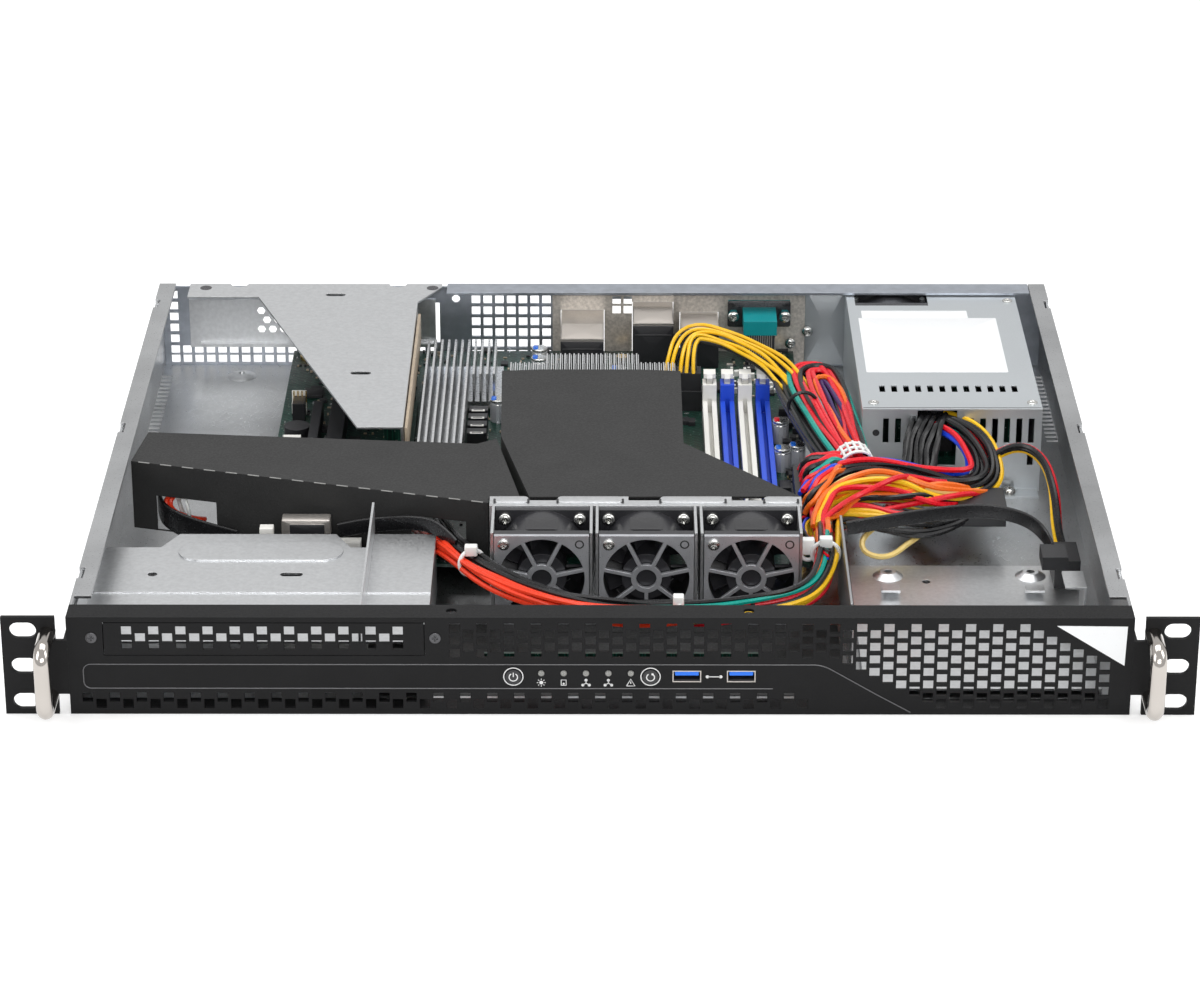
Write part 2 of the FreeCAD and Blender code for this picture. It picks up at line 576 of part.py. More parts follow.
def slim_drive_tray():
    """Shelf for a slim drive, with a raised rear edge, a pressed oval and a divider."""
    low, top = "(shelf_top - shelf_sheet)", "shelf_top"
    left, right = f"(-{WALL})", "bay_right"
    outline = [
        (left, "shelf_step"), (right, "shelf_step"), (right, "shelf_hump"),
        ("divider_x + shelf_sheet", "shelf_hump"), ("divider_x + shelf_sheet", "shelf_rear"),
        ("hump_right + shoulder", "shelf_rear"), ("hump_right", "shelf_hump"),
        ("hump_left", "shelf_hump"), ("hump_left - shoulder", "shelf_rear"),
        (left, "shelf_rear"),
    ]
    rear = extrusion("shelf_plate", "XY_Plane", [outline], low, "shelf_sheet")
    front = block("shelf_front", (left, right), ("bezel_depth", "shelf_step + 0.01"),
                  (f"{low} - shelf_drop", f"{top} - shelf_drop"))
    fold = block("shelf_fold", ("bay_right - shelf_sheet", "bay_right"),
                 ("bezel_depth", "shelf_hump"), ("sheet", f"{low} + 0.01"))
    divider = block("shelf_divider", ("divider_x", "divider_x + shelf_sheet"),
                    ("bezel_depth", "divider_rear"), (f"{low} - shelf_drop", "divider_top"))
    hanger = block("shelf_hanger", (left, f"{left} + shelf_sheet"),
                   ("bezel_depth + 8", "shelf_rear"), (low, "divider_top"))
    reach = "(emboss_right - emboss_left - emboss_wide)/2"
    middle = "(emboss_left + emboss_right)/2"
    oval = fuse("shelf_oval", [
        block("oval_middle", (f"{middle} - {reach}", f"{middle} + {reach}"),
              ("emboss_y - emboss_wide/2", "emboss_y + emboss_wide/2"),
              (top, f"{top} + emboss_rise")),
        rod("oval_left", "z", "emboss_wide/2", (f"{middle} - {reach}", "emboss_y", top),
            "emboss_rise"),
        rod("oval_right", "z", "emboss_wide/2", (f"{middle} + {reach}", "emboss_y", top),
            "emboss_rise"),
    ])
    body = fuse("shelf_body", [rear, front, fold, divider, hanger, oval])
    holes = [
        rod("shelf_hole", "z", "shelf_hole_radius", ("shelf_hole_x", "shelf_hole_y", f"{low} - 1"),
            "shelf_sheet + 2"),
        slot_cutter("shelf_slot", "z", ("shelf_slot_x", "shelf_hole_y", f"{low} - 1"), "x",
                    "oval_long", "oval_wide", "shelf_sheet + 2"),
    ]
    node(cut("slim_drive_tray", body, holes), "slim_drive_tray")


def hard_drive_tray():
    """Raised tray with two screw dimples, two lifted tabs and a clip on its right."""
    low = "(tray_top - tray_sheet)"
    plate = block("tray_plate", ("tray_left", "tray_right"), ("tray_front", "tray_rear"),
                  (low, "tray_top"))
    parts = [plate]
    for side, (start, end) in (("left", ("tray_left", "tray_left + tray_sheet")),
                               ("right", ("tray_right - tray_sheet", "tray_right"))):
        parts.append(block(f"tray_leg_{side}", (start, end), ("tray_front", "tray_rear"),
                           ("sheet", "tray_top")))
    for side in ("left", "right"):
        cone = DOC.addObject("Part::Cone", f"dimple_cone_{side}")
        bind(cone, "Radius1", "dimple_base")
        bind(cone, "Radius2", "dimple_head")
        bind(cone, "Height", "dimple_rise")
        for letter, text in zip("xyz", (f"dimple_{side}", "dimple_y", "tray_top")):
            bind(cone, "Placement.Base." + letter, text)
        parts.append(cone)
        x = (f"dimple_{side} - tab_wide/2", f"dimple_{side} + tab_wide/2")
        parts.append(block(f"tab_riser_{side}", x,
                           ("tab_y + tab_deep/2 - tray_sheet", "tab_y + tab_deep/2"),
                           ("tray_top", "tray_top + tab_rise")))
        parts.append(block(f"tab_plate_{side}", x, ("tab_y - tab_deep/2", "tab_y + tab_deep/2"),
                           ("tray_top + tab_rise - 0.01", "tray_top + tab_rise + tray_sheet")))
    parts.append(block("clip_upright", ("tray_right - tray_sheet", "tray_right"),
                       ("clip_front", "clip_rear"), ("tray_top - 0.01", "clip_top")))
    parts.append(block("clip_shelf", ("tray_right - clip_lip", "tray_right"),
                       ("clip_front", "clip_rear"), ("clip_top - 0.01", "clip_top + tray_sheet")))
    holes = [rod(f"dimple_hole_{side}", "z", "dimple_hole",
                 (f"dimple_{side}", "dimple_y", f"{low} - 1"), "dimple_rise + tray_sheet + 2")
             for side in ("left", "right")]
    holes.append(rod("tray_small_hole", "z", "tray_hole",
                     ("tray_hole_x", "tray_hole_y", f"{low} - 1"), "tray_sheet + 2"))
    node(cut("hard_drive_tray", fuse("tray_body", parts), holes), "hard_drive_tray")

    wall = block("side_wall", ("side_x", "side_x + tray_sheet"), ("side_front", "side_rear"),
                 ("sheet", "side_top"))
    foot = block("side_foot", ("side_x", "tray_left"), ("side_front", "side_rear"),
                 ("sheet", "sheet + tray_sheet"))
    node(fuse("drive_bay_side", [wall, foot]), "drive_bay_side")


# --- Fans ------------------------------------------------------------------------------

def fan_frame(name, x, y_rear, depth, z):
    """Square fan housing: two flanges on a round tube, with a spider at its rear."""
    half = "fan_side/2"
    front = f"({y_rear}) - ({depth})"
    square = (f"({x}) - {half}", f"({x}) + {half}")
    upright = (f"({z}) - {half}", f"({z}) + {half}")
    shell = fuse(name + "_shell", [
        block(name + "_front", square, (front, f"{front} + fan_flange"), upright),
        block(name + "_rear", square, (f"({y_rear}) - fan_flange", y_rear), upright),
        rod(name + "_tube", "y", "fan_tube", (x, front, z), depth),
    ])
    spread = "screw_spacing/2"
    cutters = [rod(name + "_bore", "y", "fan_bore", (x, f"{front} - 1", z), f"{depth} + 2")]
    for across in "-+":
        for up in "-+":
            cutters.append(prism(f"{name}_hole{'ab'[across == '+']}{'ab'[up == '+']}", "y", 8,
                                 "screw_radius", (f"({x}) {across} {spread}", f"{front} - 1",
                                                  f"({z}) {up} {spread}"), f"{depth} + 2"))
    ring = cut(name + "_ring", shell, cutters)
    hub_y = f"(({y_rear}) - spider_depth)"
    spokes = [rod(name + "_base", "y", "hub_radius", (x, hub_y, z), "spider_depth")]
    for sign in ("across", "up"):
        wide = (f"({x}) - strut_wide/2", f"({x}) + strut_wide/2")
        tall = (f"({z}) - strut_wide/2", f"({z}) + strut_wide/2")
        long_x = (f"({x}) - fan_bore - 0.2", f"({x}) + fan_bore + 0.2")
        long_z = (f"({z}) - fan_bore - 0.2", f"({z}) + fan_bore + 0.2")
        spokes.append(block(f"{name}_strut_{sign}", long_x if sign == "across" else wide,
                            (f"{hub_y} + 1", y_rear), tall if sign == "across" else long_z))
    whole = fuse(name + "_whole", [ring] + spokes)
    bearing = rod(name + "_bearing", "y", "shaft_radius + shaft_gap",
                  (x, f"{hub_y} - 1", z), "spider_depth + 2")
    return cut(name, whole, [bearing])


def fan_rotor(name, x, y_rear, depth, z):
    """Hub with curved, twisted blades, on a shaft that runs in the housing's spider."""
    x, z, y_rear, depth = size(x), size(z), size(y_rear), size(depth)
    hub, tip = size("hub_radius"), size("fan_bore") - size("tip_gap")
    start = y_rear - depth + size("rotor_gap")
    end = y_rear - size("spider_depth") - size("rotor_gap")
    centre = V(x, start, z)
    length = end - start
    solid = Part.makeCylinder(hub, length, centre, V(0, 1, 0))
    solid = solid.fuse(Part.makeCylinder(size("shaft_radius"), size("rotor_gap")
                                         + size("spider_depth") - 0.4,
                                         V(x, end, z), V(0, 1, 0)))
    sections = []
    for reach, half, pitch in ((hub * 0.8, 6.2, 52.0), (tip + 1, 8.2, 36.0)):
        lean = math.radians(pitch)
        half_thick, bow = size("blade_sheet") / 2, 1.3
        corners = []
        for along, off in ((-half, -half_thick), (0, bow - half_thick), (half, -half_thick),
                           (half, half_thick), (0, bow + half_thick), (-half, half_thick)):
            corners.append(V(x + along * math.cos(lean) - off * math.sin(lean),
                             start + length / 2 + along * math.sin(lean) + off * math.cos(lean),
                             z + reach))
        sections.append(Part.makePolygon(corners + corners[:1]))
    blade = Part.makeLoft(sections, True, True)
    blade = blade.common(Part.makeCylinder(tip, length, centre, V(0, 1, 0)))
    blades = []
    for number in range(int(size("blade_count"))):
        turned = blade.copy()
        turned.rotate(V(x, 0, z), V(0, 1, 0), 360.0 * number / int(size("blade_count")))
        blades.append(turned)
    return feature(name, solid.fuse(blades))


def fan_guard(name, x, z):
    """Square plate with a round mouth, crossed by spokes that hold an eye ring."""
    rear = size("fan_rear") - size("fan_depth")
    low = rear - size("guard_sheet")
    x, z, side = size(x), size(z), size("fan_side")
    thick, bore = size("guard_sheet"), size("fan_bore") - 0.4

    def disc(radius):
        return Part.makeCylinder(radius, thick, V(x, low, z), V(0, 1, 0))

    plate = Part.makeBox(side, thick, side, V(x - side / 2, low, z - side / 2)).cut(disc(bore))
    hub = disc(size("guard_hub")).cut(disc(size("guard_eye")))
    spokes = []
    inner = (size("guard_hub") + size("guard_eye")) / 2
    for number in range(int(size("guard_spokes"))):
        spoke = Part.makeBox(size("spoke_wide"), thick, bore + 0.6 - inner,
                             V(x - size("spoke_wide") / 2, low, z + inner))
        spoke.rotate(V(x, 0, z), V(0, 1, 0), 180 + 360.0 * number / int(size("guard_spokes")))
        spokes.append(spoke)
    return feature(name, plate.fuse([hub] + spokes).removeSplitter())


def fans():
    frames, guards = [], []
    middle = "fan_low + fan_side/2"
    for number in range(int(SIZES["fan_count"])):
        x = f"fan_first + {number}*fan_pitch"
        frames.append(fan_frame(f"fan_{number + 1}", x, "fan_rear", "fan_depth", middle))
        guards.append(fan_guard(f"guard_{number + 1}", x, middle))
        node(fan_rotor(f"rotor_{number + 1}", x, "fan_rear", "fan_depth", middle),
             f"fan_rotor_{number + 1}")
    node(group("fan_housings", frames), "fan_frames")
    node(group("fan_grilles", guards), "fan_guards")

    wall_y = ("fan_rear", "fan_rear + sheet")
    wall = block("bracket_wall", ("bracket_left", "bracket_right"), wall_y,
                 ("sheet", "bracket_top"))
    top = block("bracket_flange", ("bracket_left", "bracket_right"),
                ("fan_rear", "fan_rear + bracket_depth"), ("bracket_top - sheet", "bracket_top"))
    foot = block("bracket_foot", ("bracket_left", "bracket_right"),
                 ("fan_rear", "fan_rear + bracket_depth"), ("sheet", "2*sheet"))
    cheeks = []
    for number in range(int(SIZES["fan_count"])):
        x = f"(fan_first + {number}*fan_pitch)"
        near = "(fan_side/2 + bracket_gap)"
        for side, span in (("left", (f"{x} - {near} - sheet", f"{x} - {near}")),
                           ("right", (f"{x} + {near}", f"{x} + {near} + sheet"))):
            cheeks.append(block(f"bracket_cheek_{number}_{side}", span,
                                ("fan_rear - bracket_reach", "fan_rear"),
                                ("sheet", "bracket_top")))
    cutters = [rod(f"air_hole_{number}", "y", "fan_bore",
                   (f"fan_first + {number}*fan_pitch", "fan_rear - 1", middle), "sheet + 2")
               for number in range(int(SIZES["fan_count"]))]
    for number in range(int(SIZES["fan_count"])):
        x = f"(fan_first + {number}*fan_pitch)"
        cutters.append(block(f"flange_gap_{number}", (f"{x} - bracket_tab/2", f"{x} + bracket_tab/2"),
                             ("fan_rear + bracket_depth - 4", "fan_rear + bracket_depth + 1"),
                             ("bracket_top - sheet - 1", "bracket_top + 1")))
    node(cut("fan_bracket", fuse("bracket_body", [wall, top, foot] + cheeks), cutters), "fan_bracket")


# --- Motherboard and what stands on it ---------------------------------------------------

def motherboard():
    """Circuit board on brass standoffs, each with a screw head on top."""
    plate = block("board_plate", ("board_left", "board_right"), ("board_front", "board_back"),
                  ("board_bottom", BOARD))
    columns = {"left": "board_left + standoff_inset_x",
               "middle": "board_right - standoff_middle",
               "right": "board_right - standoff_inset_x"}
    rows = {"front": "board_front + standoff_inset_y", "centre": "board_back - 155",
            "rear": "board_back - standoff_inset_y"}
    holes, posts = [], []
    for column, x in columns.items():
        for row, y in rows.items():
            name = f"{column}_{row}"
            holes.append(prism(f"board_hole_{name}", "z", 12, "standoff_bolt + 0.3",
                               (x, y, "board_bottom - 1"), "board_sheet + 2"))
            posts.append(fuse(f"standoff_{name}", [
                prism(f"standoff_post_{name}", "z", 6, "standoff_radius", (x, y, "sheet"),
                      "board_bottom - sheet"),
                prism(f"standoff_bolt_{name}", "z", 12, "standoff_bolt",
                      (x, y, "board_bottom - 0.01"), "board_sheet + 0.02"),
                prism(f"standoff_head_{name}", "z", 12, "standoff_head", (x, y, BOARD), "1.6"),
            ]))
    node(cut("motherboard", plate, holes), "motherboard")
    node(group("standoffs", posts), "standoffs")


def memory_socket(number):
    """Long grooved socket with a split tower at each end for its latch."""
    x = f"(dimm_first + {number}*dimm_pitch)"
    wide = (f"{x} - dimm_wide/2", f"{x} + dimm_wide/2")
    name = f"dimm_{number + 1}"
    body = block(name + "_body", wide, ("dimm_front", "dimm_back"),
                 (BOARD, f"{BOARD} + dimm_high"))
    parts = [body]
    towers = {"front": ("dimm_front - tower_long", "dimm_front"),
              "back": ("dimm_back", "dimm_back + tower_long")}
    cutters = [block(name + "_groove", (f"{x} - dimm_slot/2", f"{x} + dimm_slot/2"),
                     ("dimm_front - 0.5", "dimm_back + 0.5"),
                     (f"{BOARD} + dimm_high - dimm_slot_deep", f"{BOARD} + dimm_high + 1"))]
    for side, (start, end) in towers.items():
        parts.append(block(f"{name}_{side}_tower", wide, (start, end),
                           (BOARD, f"{BOARD} + tower_high")))
        gap = "(latch_wide/2 + latch_play)"
        cutters.append(block(f"{name}_{side}_gap", (f"{x} - {gap}", f"{x} + {gap}"),
                             (f"{start} - 1" if side == "front" else f"{start} + 1.4",
                              f"{end} - 1.4" if side == "front" else f"{end} + 1"),
                             (f"{BOARD} + 1.2", f"{BOARD} + tower_high + 1")))
        cutters.append(rod(f"{name}_{side}_bore", "x", "latch_pin + pin_gap",
                           (f"{x} - dimm_wide/2 - 1", f"({start} + {end})/2",
                            f"{BOARD} + latch_pin_high"), "dimm_wide + 2"))
    solid = fuse(name + "_solid", parts)
    for step, cutter in enumerate(cutters):
        solid = cut(f"{name}_cut_{step}", solid, [cutter])
    return solid


def memory_latch(number, side):
    """Lever on a pin between the tower's cheeks, with a finger pad on its top."""
    x = size(f"dimm_first + {number}*dimm_pitch")
    outward = -1 if side == "front" else 1
    edge = size("dimm_front") if side == "front" else size("dimm_back")
    pivot = edge + outward * size("tower_long") / 2
    floor = size(BOARD)
    pin_z = floor + size("latch_pin_high")
    top = floor + size("latch_top")
    wide, head = size("latch_wide"), size("latch_head")
    profile = [(-1.7, pin_z - 2.0), (1.9, pin_z - 2.0), (2.6, pin_z + 3), (3.0, top - 4.5),
               (5.0, top - 2.2), (5.0, top), (-1.2, top), (-2.2, top - 2.0), (-0.8, top - 4.2),
               (-0.8, pin_z + 3)]
    corners = [V(x - wide / 2, pivot + outward * along, up) for along, up in profile]
    lever = Part.Face(Part.makePolygon(corners + corners[:1])).extrude(V(wide, 0, 0))
    pad_start = pivot - (1.2 if outward > 0 else 5.0)
    pad = Part.makeBox(head, 6.2, 2.2, V(x - head / 2, pad_start, top - 2.2))
    pin = Part.makeCylinder(size("latch_pin"), size("dimm_wide") - 0.2,
                            V(x - size("dimm_wide") / 2 + 0.1, pivot, pin_z), V(1, 0, 0))
    return feature(f"latch_{number + 1}_{side}", lever.fuse([pad, pin]).removeSplitter())


def memory():
    for colour, numbers in (("white", (0, 2)), ("blue", (1, 3))):
        node(group(f"sockets_{colour}", [memory_socket(number) for number in numbers]),
             f"memory_sockets_{colour}")
    for number in range(int(SIZES["dimm_count"])):
        for side in ("front", "back"):
            node(memory_latch(number, side), f"memory_latch_{side}_{number + 1}")


def fin_row(name, left, right, y, base):
    """Upright fins of the chipset's heat sink, along y, on a base."""
    count = int(size(f"({right} - ({left}) - chip_sheet)/chip_pitch")) + 1
    return [block(f"{name}_fin_{number}",
                  (f"{left} + {number}*chip_pitch", f"{left} + {number}*chip_pitch + chip_sheet"),
                  y, (f"{base} - 0.01", "chip_top"))
            for number in range(count)]


def heat_sinks():
    base_top = "(cooler_base + cooler_base_high)"
    parts = [
        block("cooler_plate", ("cooler_left", "cooler_right"), ("cooler_front", "cooler_back"),
              ("cooler_base", base_top)),
        block("cooler_neck", ("cooler_neck_left", "cooler_neck_right"),
              ("cooler_back - 0.01", "cooler_neck_back"), ("cooler_base", base_top)),
    ]
    count = int((size("cooler_right - cooler_left - fin_sheet")) / size("fin_pitch")) + 1
    for number in range(count):
        start = f"(cooler_left + {number}*fin_pitch)"
        inside = size("cooler_neck_left") - 1 < size(start) < size("cooler_neck_right")
        end = "cooler_neck_back" if inside else "cooler_back"
        parts.append(block(f"cooler_fin_{number}", (start, f"{start} + fin_sheet"),
                           ("cooler_front", end), (f"{base_top} - 0.01", "cooler_top")))
    middle_x, middle_y = "(cooler_left + cooler_right)/2", "(cooler_front + cooler_back)/2"
    core = "cooler_core/2"
    parts.append(block("cooler_block", (f"{middle_x} - {core}", f"{middle_x} + {core}"),
                       (f"{middle_y} - {core}", f"{middle_y} + {core}"),
                       (f"{BOARD} + socket_high", "cooler_base + 0.01")))
    node(fuse("cpu_heatsink", parts), "cpu_heatsink")

    top = "(chip_base + chip_base_high)"
    parts = [
        block("chip_plate", ("chip_left", "chip_right"), ("chip_front", "chip_back"),
              ("chip_base", top)),
        block("chip_arm_plate", ("chip_left", "chip_left + chip_arm"),
              ("chip_arm_front", "chip_back"), ("chip_base", top)),
        block("chip_block", ("chip_left + chip_inset", "chip_left + chip_inset + chip_side"),
              ("chip_front + chip_inset", "chip_front + chip_inset + chip_side"),
              (BOARD, "chip_base + 0.01")),
    ]
    parts += fin_row("arm", "chip_left", "chip_left + chip_arm", ("chip_arm_front", "chip_back"),
                     top)
    start = f"chip_left + {int(size('chip_arm/chip_pitch')) + 1}*chip_pitch"
    parts += fin_row("chip", start, "chip_right", ("chip_front", "chip_back"), top)
    node(fuse("chipset_heatsink", parts), "chipset_heatsink")


def board_parts():
    """Connectors and capacitors, placed from the rear right corner of the motherboard."""
    def part(name, x, y, low, high):
        return block(name, tuple(f"board_right - {place}" for place in x),
                     tuple(f"board_back - {place}" for place in y),
                     (f"{BOARD} + {low}", f"{BOARD} + {high}"))

    black = [
        part("cpu_socket", (119.5, 75.5), (148, 104), 0, "socket_high"),
        part("cpu_power_socket", (62.5, 46), (75, 65), 0, 10),
        part("cpu_power_plug", (61.9, 46.6), (74.4, 65.6), 10, 19),
        part("atx_socket", (8.5, 0.5), (230, 178), 0, 9),
        part("atx_plug", (7.9, 1.1), (229, 179), 9, 18),
        part("pci_slot_long", (219.5, 212.3), (163, 78), 0, 11),
        part("pci_slot_short", (228.4, 224), (161, 84), 0, 9),
        part("fan_socket", (238.4, 232.6), (88, 78), 0, 9),
        rod("buzzer", "z", "buzzer_radius",
            ("board_right - 234.7", "board_back - 108.6", BOARD), "buzzer_high"),
    ]
    for number in range(4):
        start = 122 - 8.8 * number
        black.append(part(f"sata_port_{number + 1}", (155.5, 146.5), (start, start - 5.6), 0, 9))
    molex = block("molex_plug", ("157", "178"), ("152", "171.7"), ("14", "24"))
    node(group("connectors_black", black + [molex]), "board_connectors_black")

    white = [
        part("fan_header", (239.5, 231.5), (130, 126.5), 0, 10),
        part("front_header", (233.5, 221.5), (240, 234), 0, 9),
        part("panel_header", (215.5, 197.5), (242, 236.5), 0, 9),
    ]
    node(group("connectors_white", white), "board_connectors_white")

    places = [(10.4, 111), (10.8, 143), (4, 139.4), (123.5, 23), (123.5, 35), (142, 86),
              (219.5, 38), (85.5, 48), (194.5, 168)]
    cans = [prism(f"capacitor_{number}", "z", 14, "can_radius",
                  (f"board_right - {across}", f"board_back - {along}", BOARD), "can_high")
            for number, (across, along) in enumerate(places)]
    node(group("capacitors", cans), "board_capacitors")


# --- Air ducts and riser -----------------------------------------------------------------

def side_air_duct():
    """Black cover over the left of the board, with a skirt along its front edge."""
    top = ("duct_top - duct_sheet", "duct_sheet")
    outline = [("-206.3", "board_front + 37"), ("-48.2", "board_front - 7"),
               ("-48.2", "board_front - 2"), ("-34.6", "board_front - 2"),
               ("-46.4", "board_back - 182"), ("-55", "board_back - 187.6"),
               ("-202", "board_back - 175")]
    plate = extrusion("duct_cover", "XY_Plane", [outline], *top)
    thick = size("duct_sheet")
    start, end = (V(size(across), size(back), 0) for across, back in outline[:2])
    low = size("duct_top - side_duct_skirt")
    along = end - start
    across = V(-along.y, along.x, 0).normalize() * thick
    corners = [start, end, end + across, start + across]
    skirt = Part.Face(Part.makePolygon([point + V(0, 0, low) for point in corners + corners[:1]]))
    skirt = skirt.extrude(V(0, 0, size("duct_top") - low))
    window = Part.makeBox(size("window_right - window_left"), 60,
                          size("window_high - window_low"),
                          V(size("window_left"), size("board_front + 6"), size("window_low")))
    gate = Part.makeBox(size("gate_right - gate_left"), 60, size("gate_high") - low + 1,
                        V(size("gate_left"), size("board_front - 24"), low - 1))
    skirt = feature("duct_skirt", skirt.cut([window, gate]))
    node(fuse("side_air_duct", [plate, skirt]), "side_air_duct")


def cpu_air_duct():
    """Black channel from the fans to the processor's heat sink, open at both ends."""
    outline = [("-30.8", "board_front - 0.7"), ("85.7", "board_front"),
               ("36.6", "board_back - 186.6"), ("36.6", "board_back - 103.2"),
               ("18", "board_back - 101.4"), ("-28", "board_back - 101.4"),
               ("-46", "board_back - 103.2"), ("-44.6", "board_back - 178.6")]
    plate = extrusion("channel_cover", "XY_Plane", [outline], "duct_top - duct_sheet",
                      "duct_sheet")
    thick, top = size("duct_sheet"), size("duct_top")
    low, short = top - size("cpu_duct_skirt"), top - size("duct_short_skirt")
    walls = []
    for name, side, bottom, run in (
            ("left_front", -1, low, (outline[0], outline[7])),
            ("left_rear", -1, low, (outline[7], outline[6])),
            ("right_front", 1, short, (outline[1], outline[2])),
            ("right_rear", 1, low, (outline[2], outline[3]))):
        inner = [V(size(across), size(back), bottom) for across, back in run]
        outer = [point - V(side * thick, 0, 0) for point in inner]
        ring = inner + outer[::-1]
        wall = Part.Face(Part.makePolygon(ring + ring[:1])).extrude(V(0, 0, top - bottom))
        walls.append(feature(f"channel_wall_{name}", wall))
    node(fuse("cpu_air_duct", [plate] + walls), "cpu_air_duct")


def riser():
    """Riser bracket on the rear panel's edge, its circuit card and the slot cover."""
    z = "(body_height - sheet)"
    outline = [
        ("riser_left", "riser_step"), ("riser_knee", "riser_step"),
        ("riser_toe", "riser_front"), ("riser_inner", "riser_front"),
        ("riser_inner", "riser_shoulder"), ("riser_right", "chassis_depth - 4"),
        ("riser_right", "chassis_depth"), ("riser_left", "chassis_depth"),
    ]
    plate = extrusion("riser_plate", "XY_Plane", [outline], z, "tray_sheet")
    fold = block("riser_side", ("riser_inner - tray_sheet", "riser_inner"),
                 ("riser_front", "riser_shoulder"), (f"{z} - riser_fold", f"{z} + 0.01"))
    holes = [
        slot_cutter("riser_oval_rear", "z", ("-128.5", "chassis_depth - 14.5", f"{z} - 1"), "x",
                    "oval_long", "oval_wide", "tray_sheet + 2"),
        slot_cutter("riser_oval_front", "z", ("-110.8", "riser_front + 63", f"{z} - 1"), "x",
                    "oval_long", "oval_wide", "tray_sheet + 2"),
        rod("riser_notch_left", "z", "4.2", ("-176", "chassis_depth", f"{z} - 1"),
            "tray_sheet + 2"),
        rod("riser_notch_right", "z", "4.2", ("-99", "chassis_depth", f"{z} - 1"),
            "tray_sheet + 2"),
    ]
    node(cut("riser_bracket", fuse("riser_body", [plate, fold]), holes), "riser_bracket")

    card = block("riser_board", ("riser_inner - tray_sheet - board_sheet",
                                 "riser_inner - tray_sheet"),
                 ("riser_card_front", "riser_shoulder - 2"), ("riser_card_low", f"{z} - 1"))
    socket = block("riser_socket", ("riser_inner - tray_sheet - board_sheet - 8",
                                    "riser_inner - tray_sheet - board_sheet"),
                   ("riser_card_front + 30", "riser_card_front + 115"), ("22", "30"))
    edge = block("riser_edge_socket", ("riser_inner - tray_sheet - board_sheet - 2.5",
                                       "riser_inner + 2"),
                 ("riser_card_front + 8", "riser_card_front + 95"), (BOARD, "riser_card_low"))
    node(fuse("riser_card", [card, socket, edge]), "riser_card")

    y = (f"{REAR_FACE} - tray_sheet", REAR_FACE)
    cover = block("slot_plate", ("slot_left - slot_lap", "slot_right - slot_lap"), y,
                  ("slot_bottom - slot_lap", "slot_top + slot_lap"))
    step = block("slot_ledge", ("slot_left + 3", "slot_right - slot_lap - 1"),
                 (f"{REAR_FACE} - 4", f"{REAR_FACE} - 0.5"), ("slot_bottom", "slot_bottom + 1"))
    cutters = []
    for row in range(3):
        for column in range(5):
            cutters.append(prism(
                f"slot_hole_{row}_{column}", "y", 6, "2.1",
                (f"-166 + {column}*5.4 + {row % 2}*2.7", f"{REAR_FACE} - 6",
                 f"slot_top - 4 - {row}*4.8"), "8"))
    node(cut("slot_cover", fuse("slot_body", [cover, step]), cutters), "slot_cover")


def rear_ports():
    """Shield plate and the metal jacks and serial port that reach through it."""
    y = (f"{REAR_FACE} - io_sheet", REAR_FACE)
    plate = block("shield_plate", ("io_left", "io_right"), y, ("io_low", "io_high"))
    jacks = {
        "usb_pair": (("-19.7", "1"), 37.8, "30.3", ((3.8, 12.2, 5.8), (3.8, 20.6, 5.8))),
        "network_left": (("15", "34.5"), 27.8, "34.4",
                         ((3.2, 10.6, 5.8), (3.2, 17.6, 5.8), (3.9, 25.0, 8.2))),
        "network_right": (("38.2", "56.5"), 21.8, "29.2", ((2.6, 10.6, 5.8), (3.3, 19.4, 8.2))),
    }
    out = "chassis_depth + rear_port_proud"
    windows, solids = [], []
    for name, (x, depth, top, mouths) in jacks.items():
        windows.append(block(f"{name}_window", (f"{x[0]} - port_gap", f"{x[1]} + port_gap"),
                             (f"{REAR_FACE} - 2", f"{REAR_FACE} + 1"),
                             (f"{BOARD} - 1", f"{top} + port_gap")))
        body = block(name + "_case", x, (f"{REAR_FACE} - {depth}", out), (BOARD, top))
        pockets = []
        for number, (inset, low, high) in enumerate(mouths):
            pockets.append(block(f"{name}_mouth_{number}",
                                 (f"{x[0]} + {inset}", f"{x[1]} - {inset}"),
                                 (f"{out} - 12", f"{out} + 1"), (str(low), str(low + high))))
        solids.append(cut(name, body, pockets))
    node(group("jacks", solids), "io_ports")

    body = block("serial_body", ("68.4", "84.5"), (f"{REAR_FACE} - 22.8", f"{REAR_FACE} - io_sheet - 1"),
                 ("26", "33.2"))
    stand = block("serial_stand", ("70", "83"), (f"{REAR_FACE} - 19.8", f"{REAR_FACE} - 6.8"),
                  (BOARD, "26.01"))
    flange = block("serial_flange", ("61.5", "91.5"),
                   (f"{REAR_FACE} - io_sheet - 1.01", f"{REAR_FACE} - io_sheet"),
                   ("23.4", "35.8"))
    nose = block("serial_nose", ("68.2", "84.8"), (f"{REAR_FACE} - io_sheet - 0.01", out),
                 ("25.4", "33.8"))
    screws = [prism(f"jack_screw_{side}", "y", 6, "2.6", (x, f"{REAR_FACE} - 6.8", "29.6"), "5.5")
              for side, x in (("left", "64"), ("right", "89"))]
    node(fuse("serial_port", [body, stand, flange, nose] + screws), "serial_port")
    windows.append(block("serial_window", ("68.2 - port_gap", "84.8 + port_gap"),
                         (f"{REAR_FACE} - 2", f"{REAR_FACE} + 1"),
                         ("25.4 - port_gap", "33.8 + port_gap")))
    for column in range(2):
        for row in range(2):
            windows.append(block(
                f"shield_vent_{column}_{row}", (f"5.2 + {column}*5.4", f"9.2 + {column}*5.4"),
                (f"{REAR_FACE} - 2", f"{REAR_FACE} + 1"),
                (f"28.6 + {row}*5", f"32.6 + {row}*5")))
    node(cut("io_shield", plate, windows), "io_shield")


# --- Power supply ------------------------------------------------------------------------

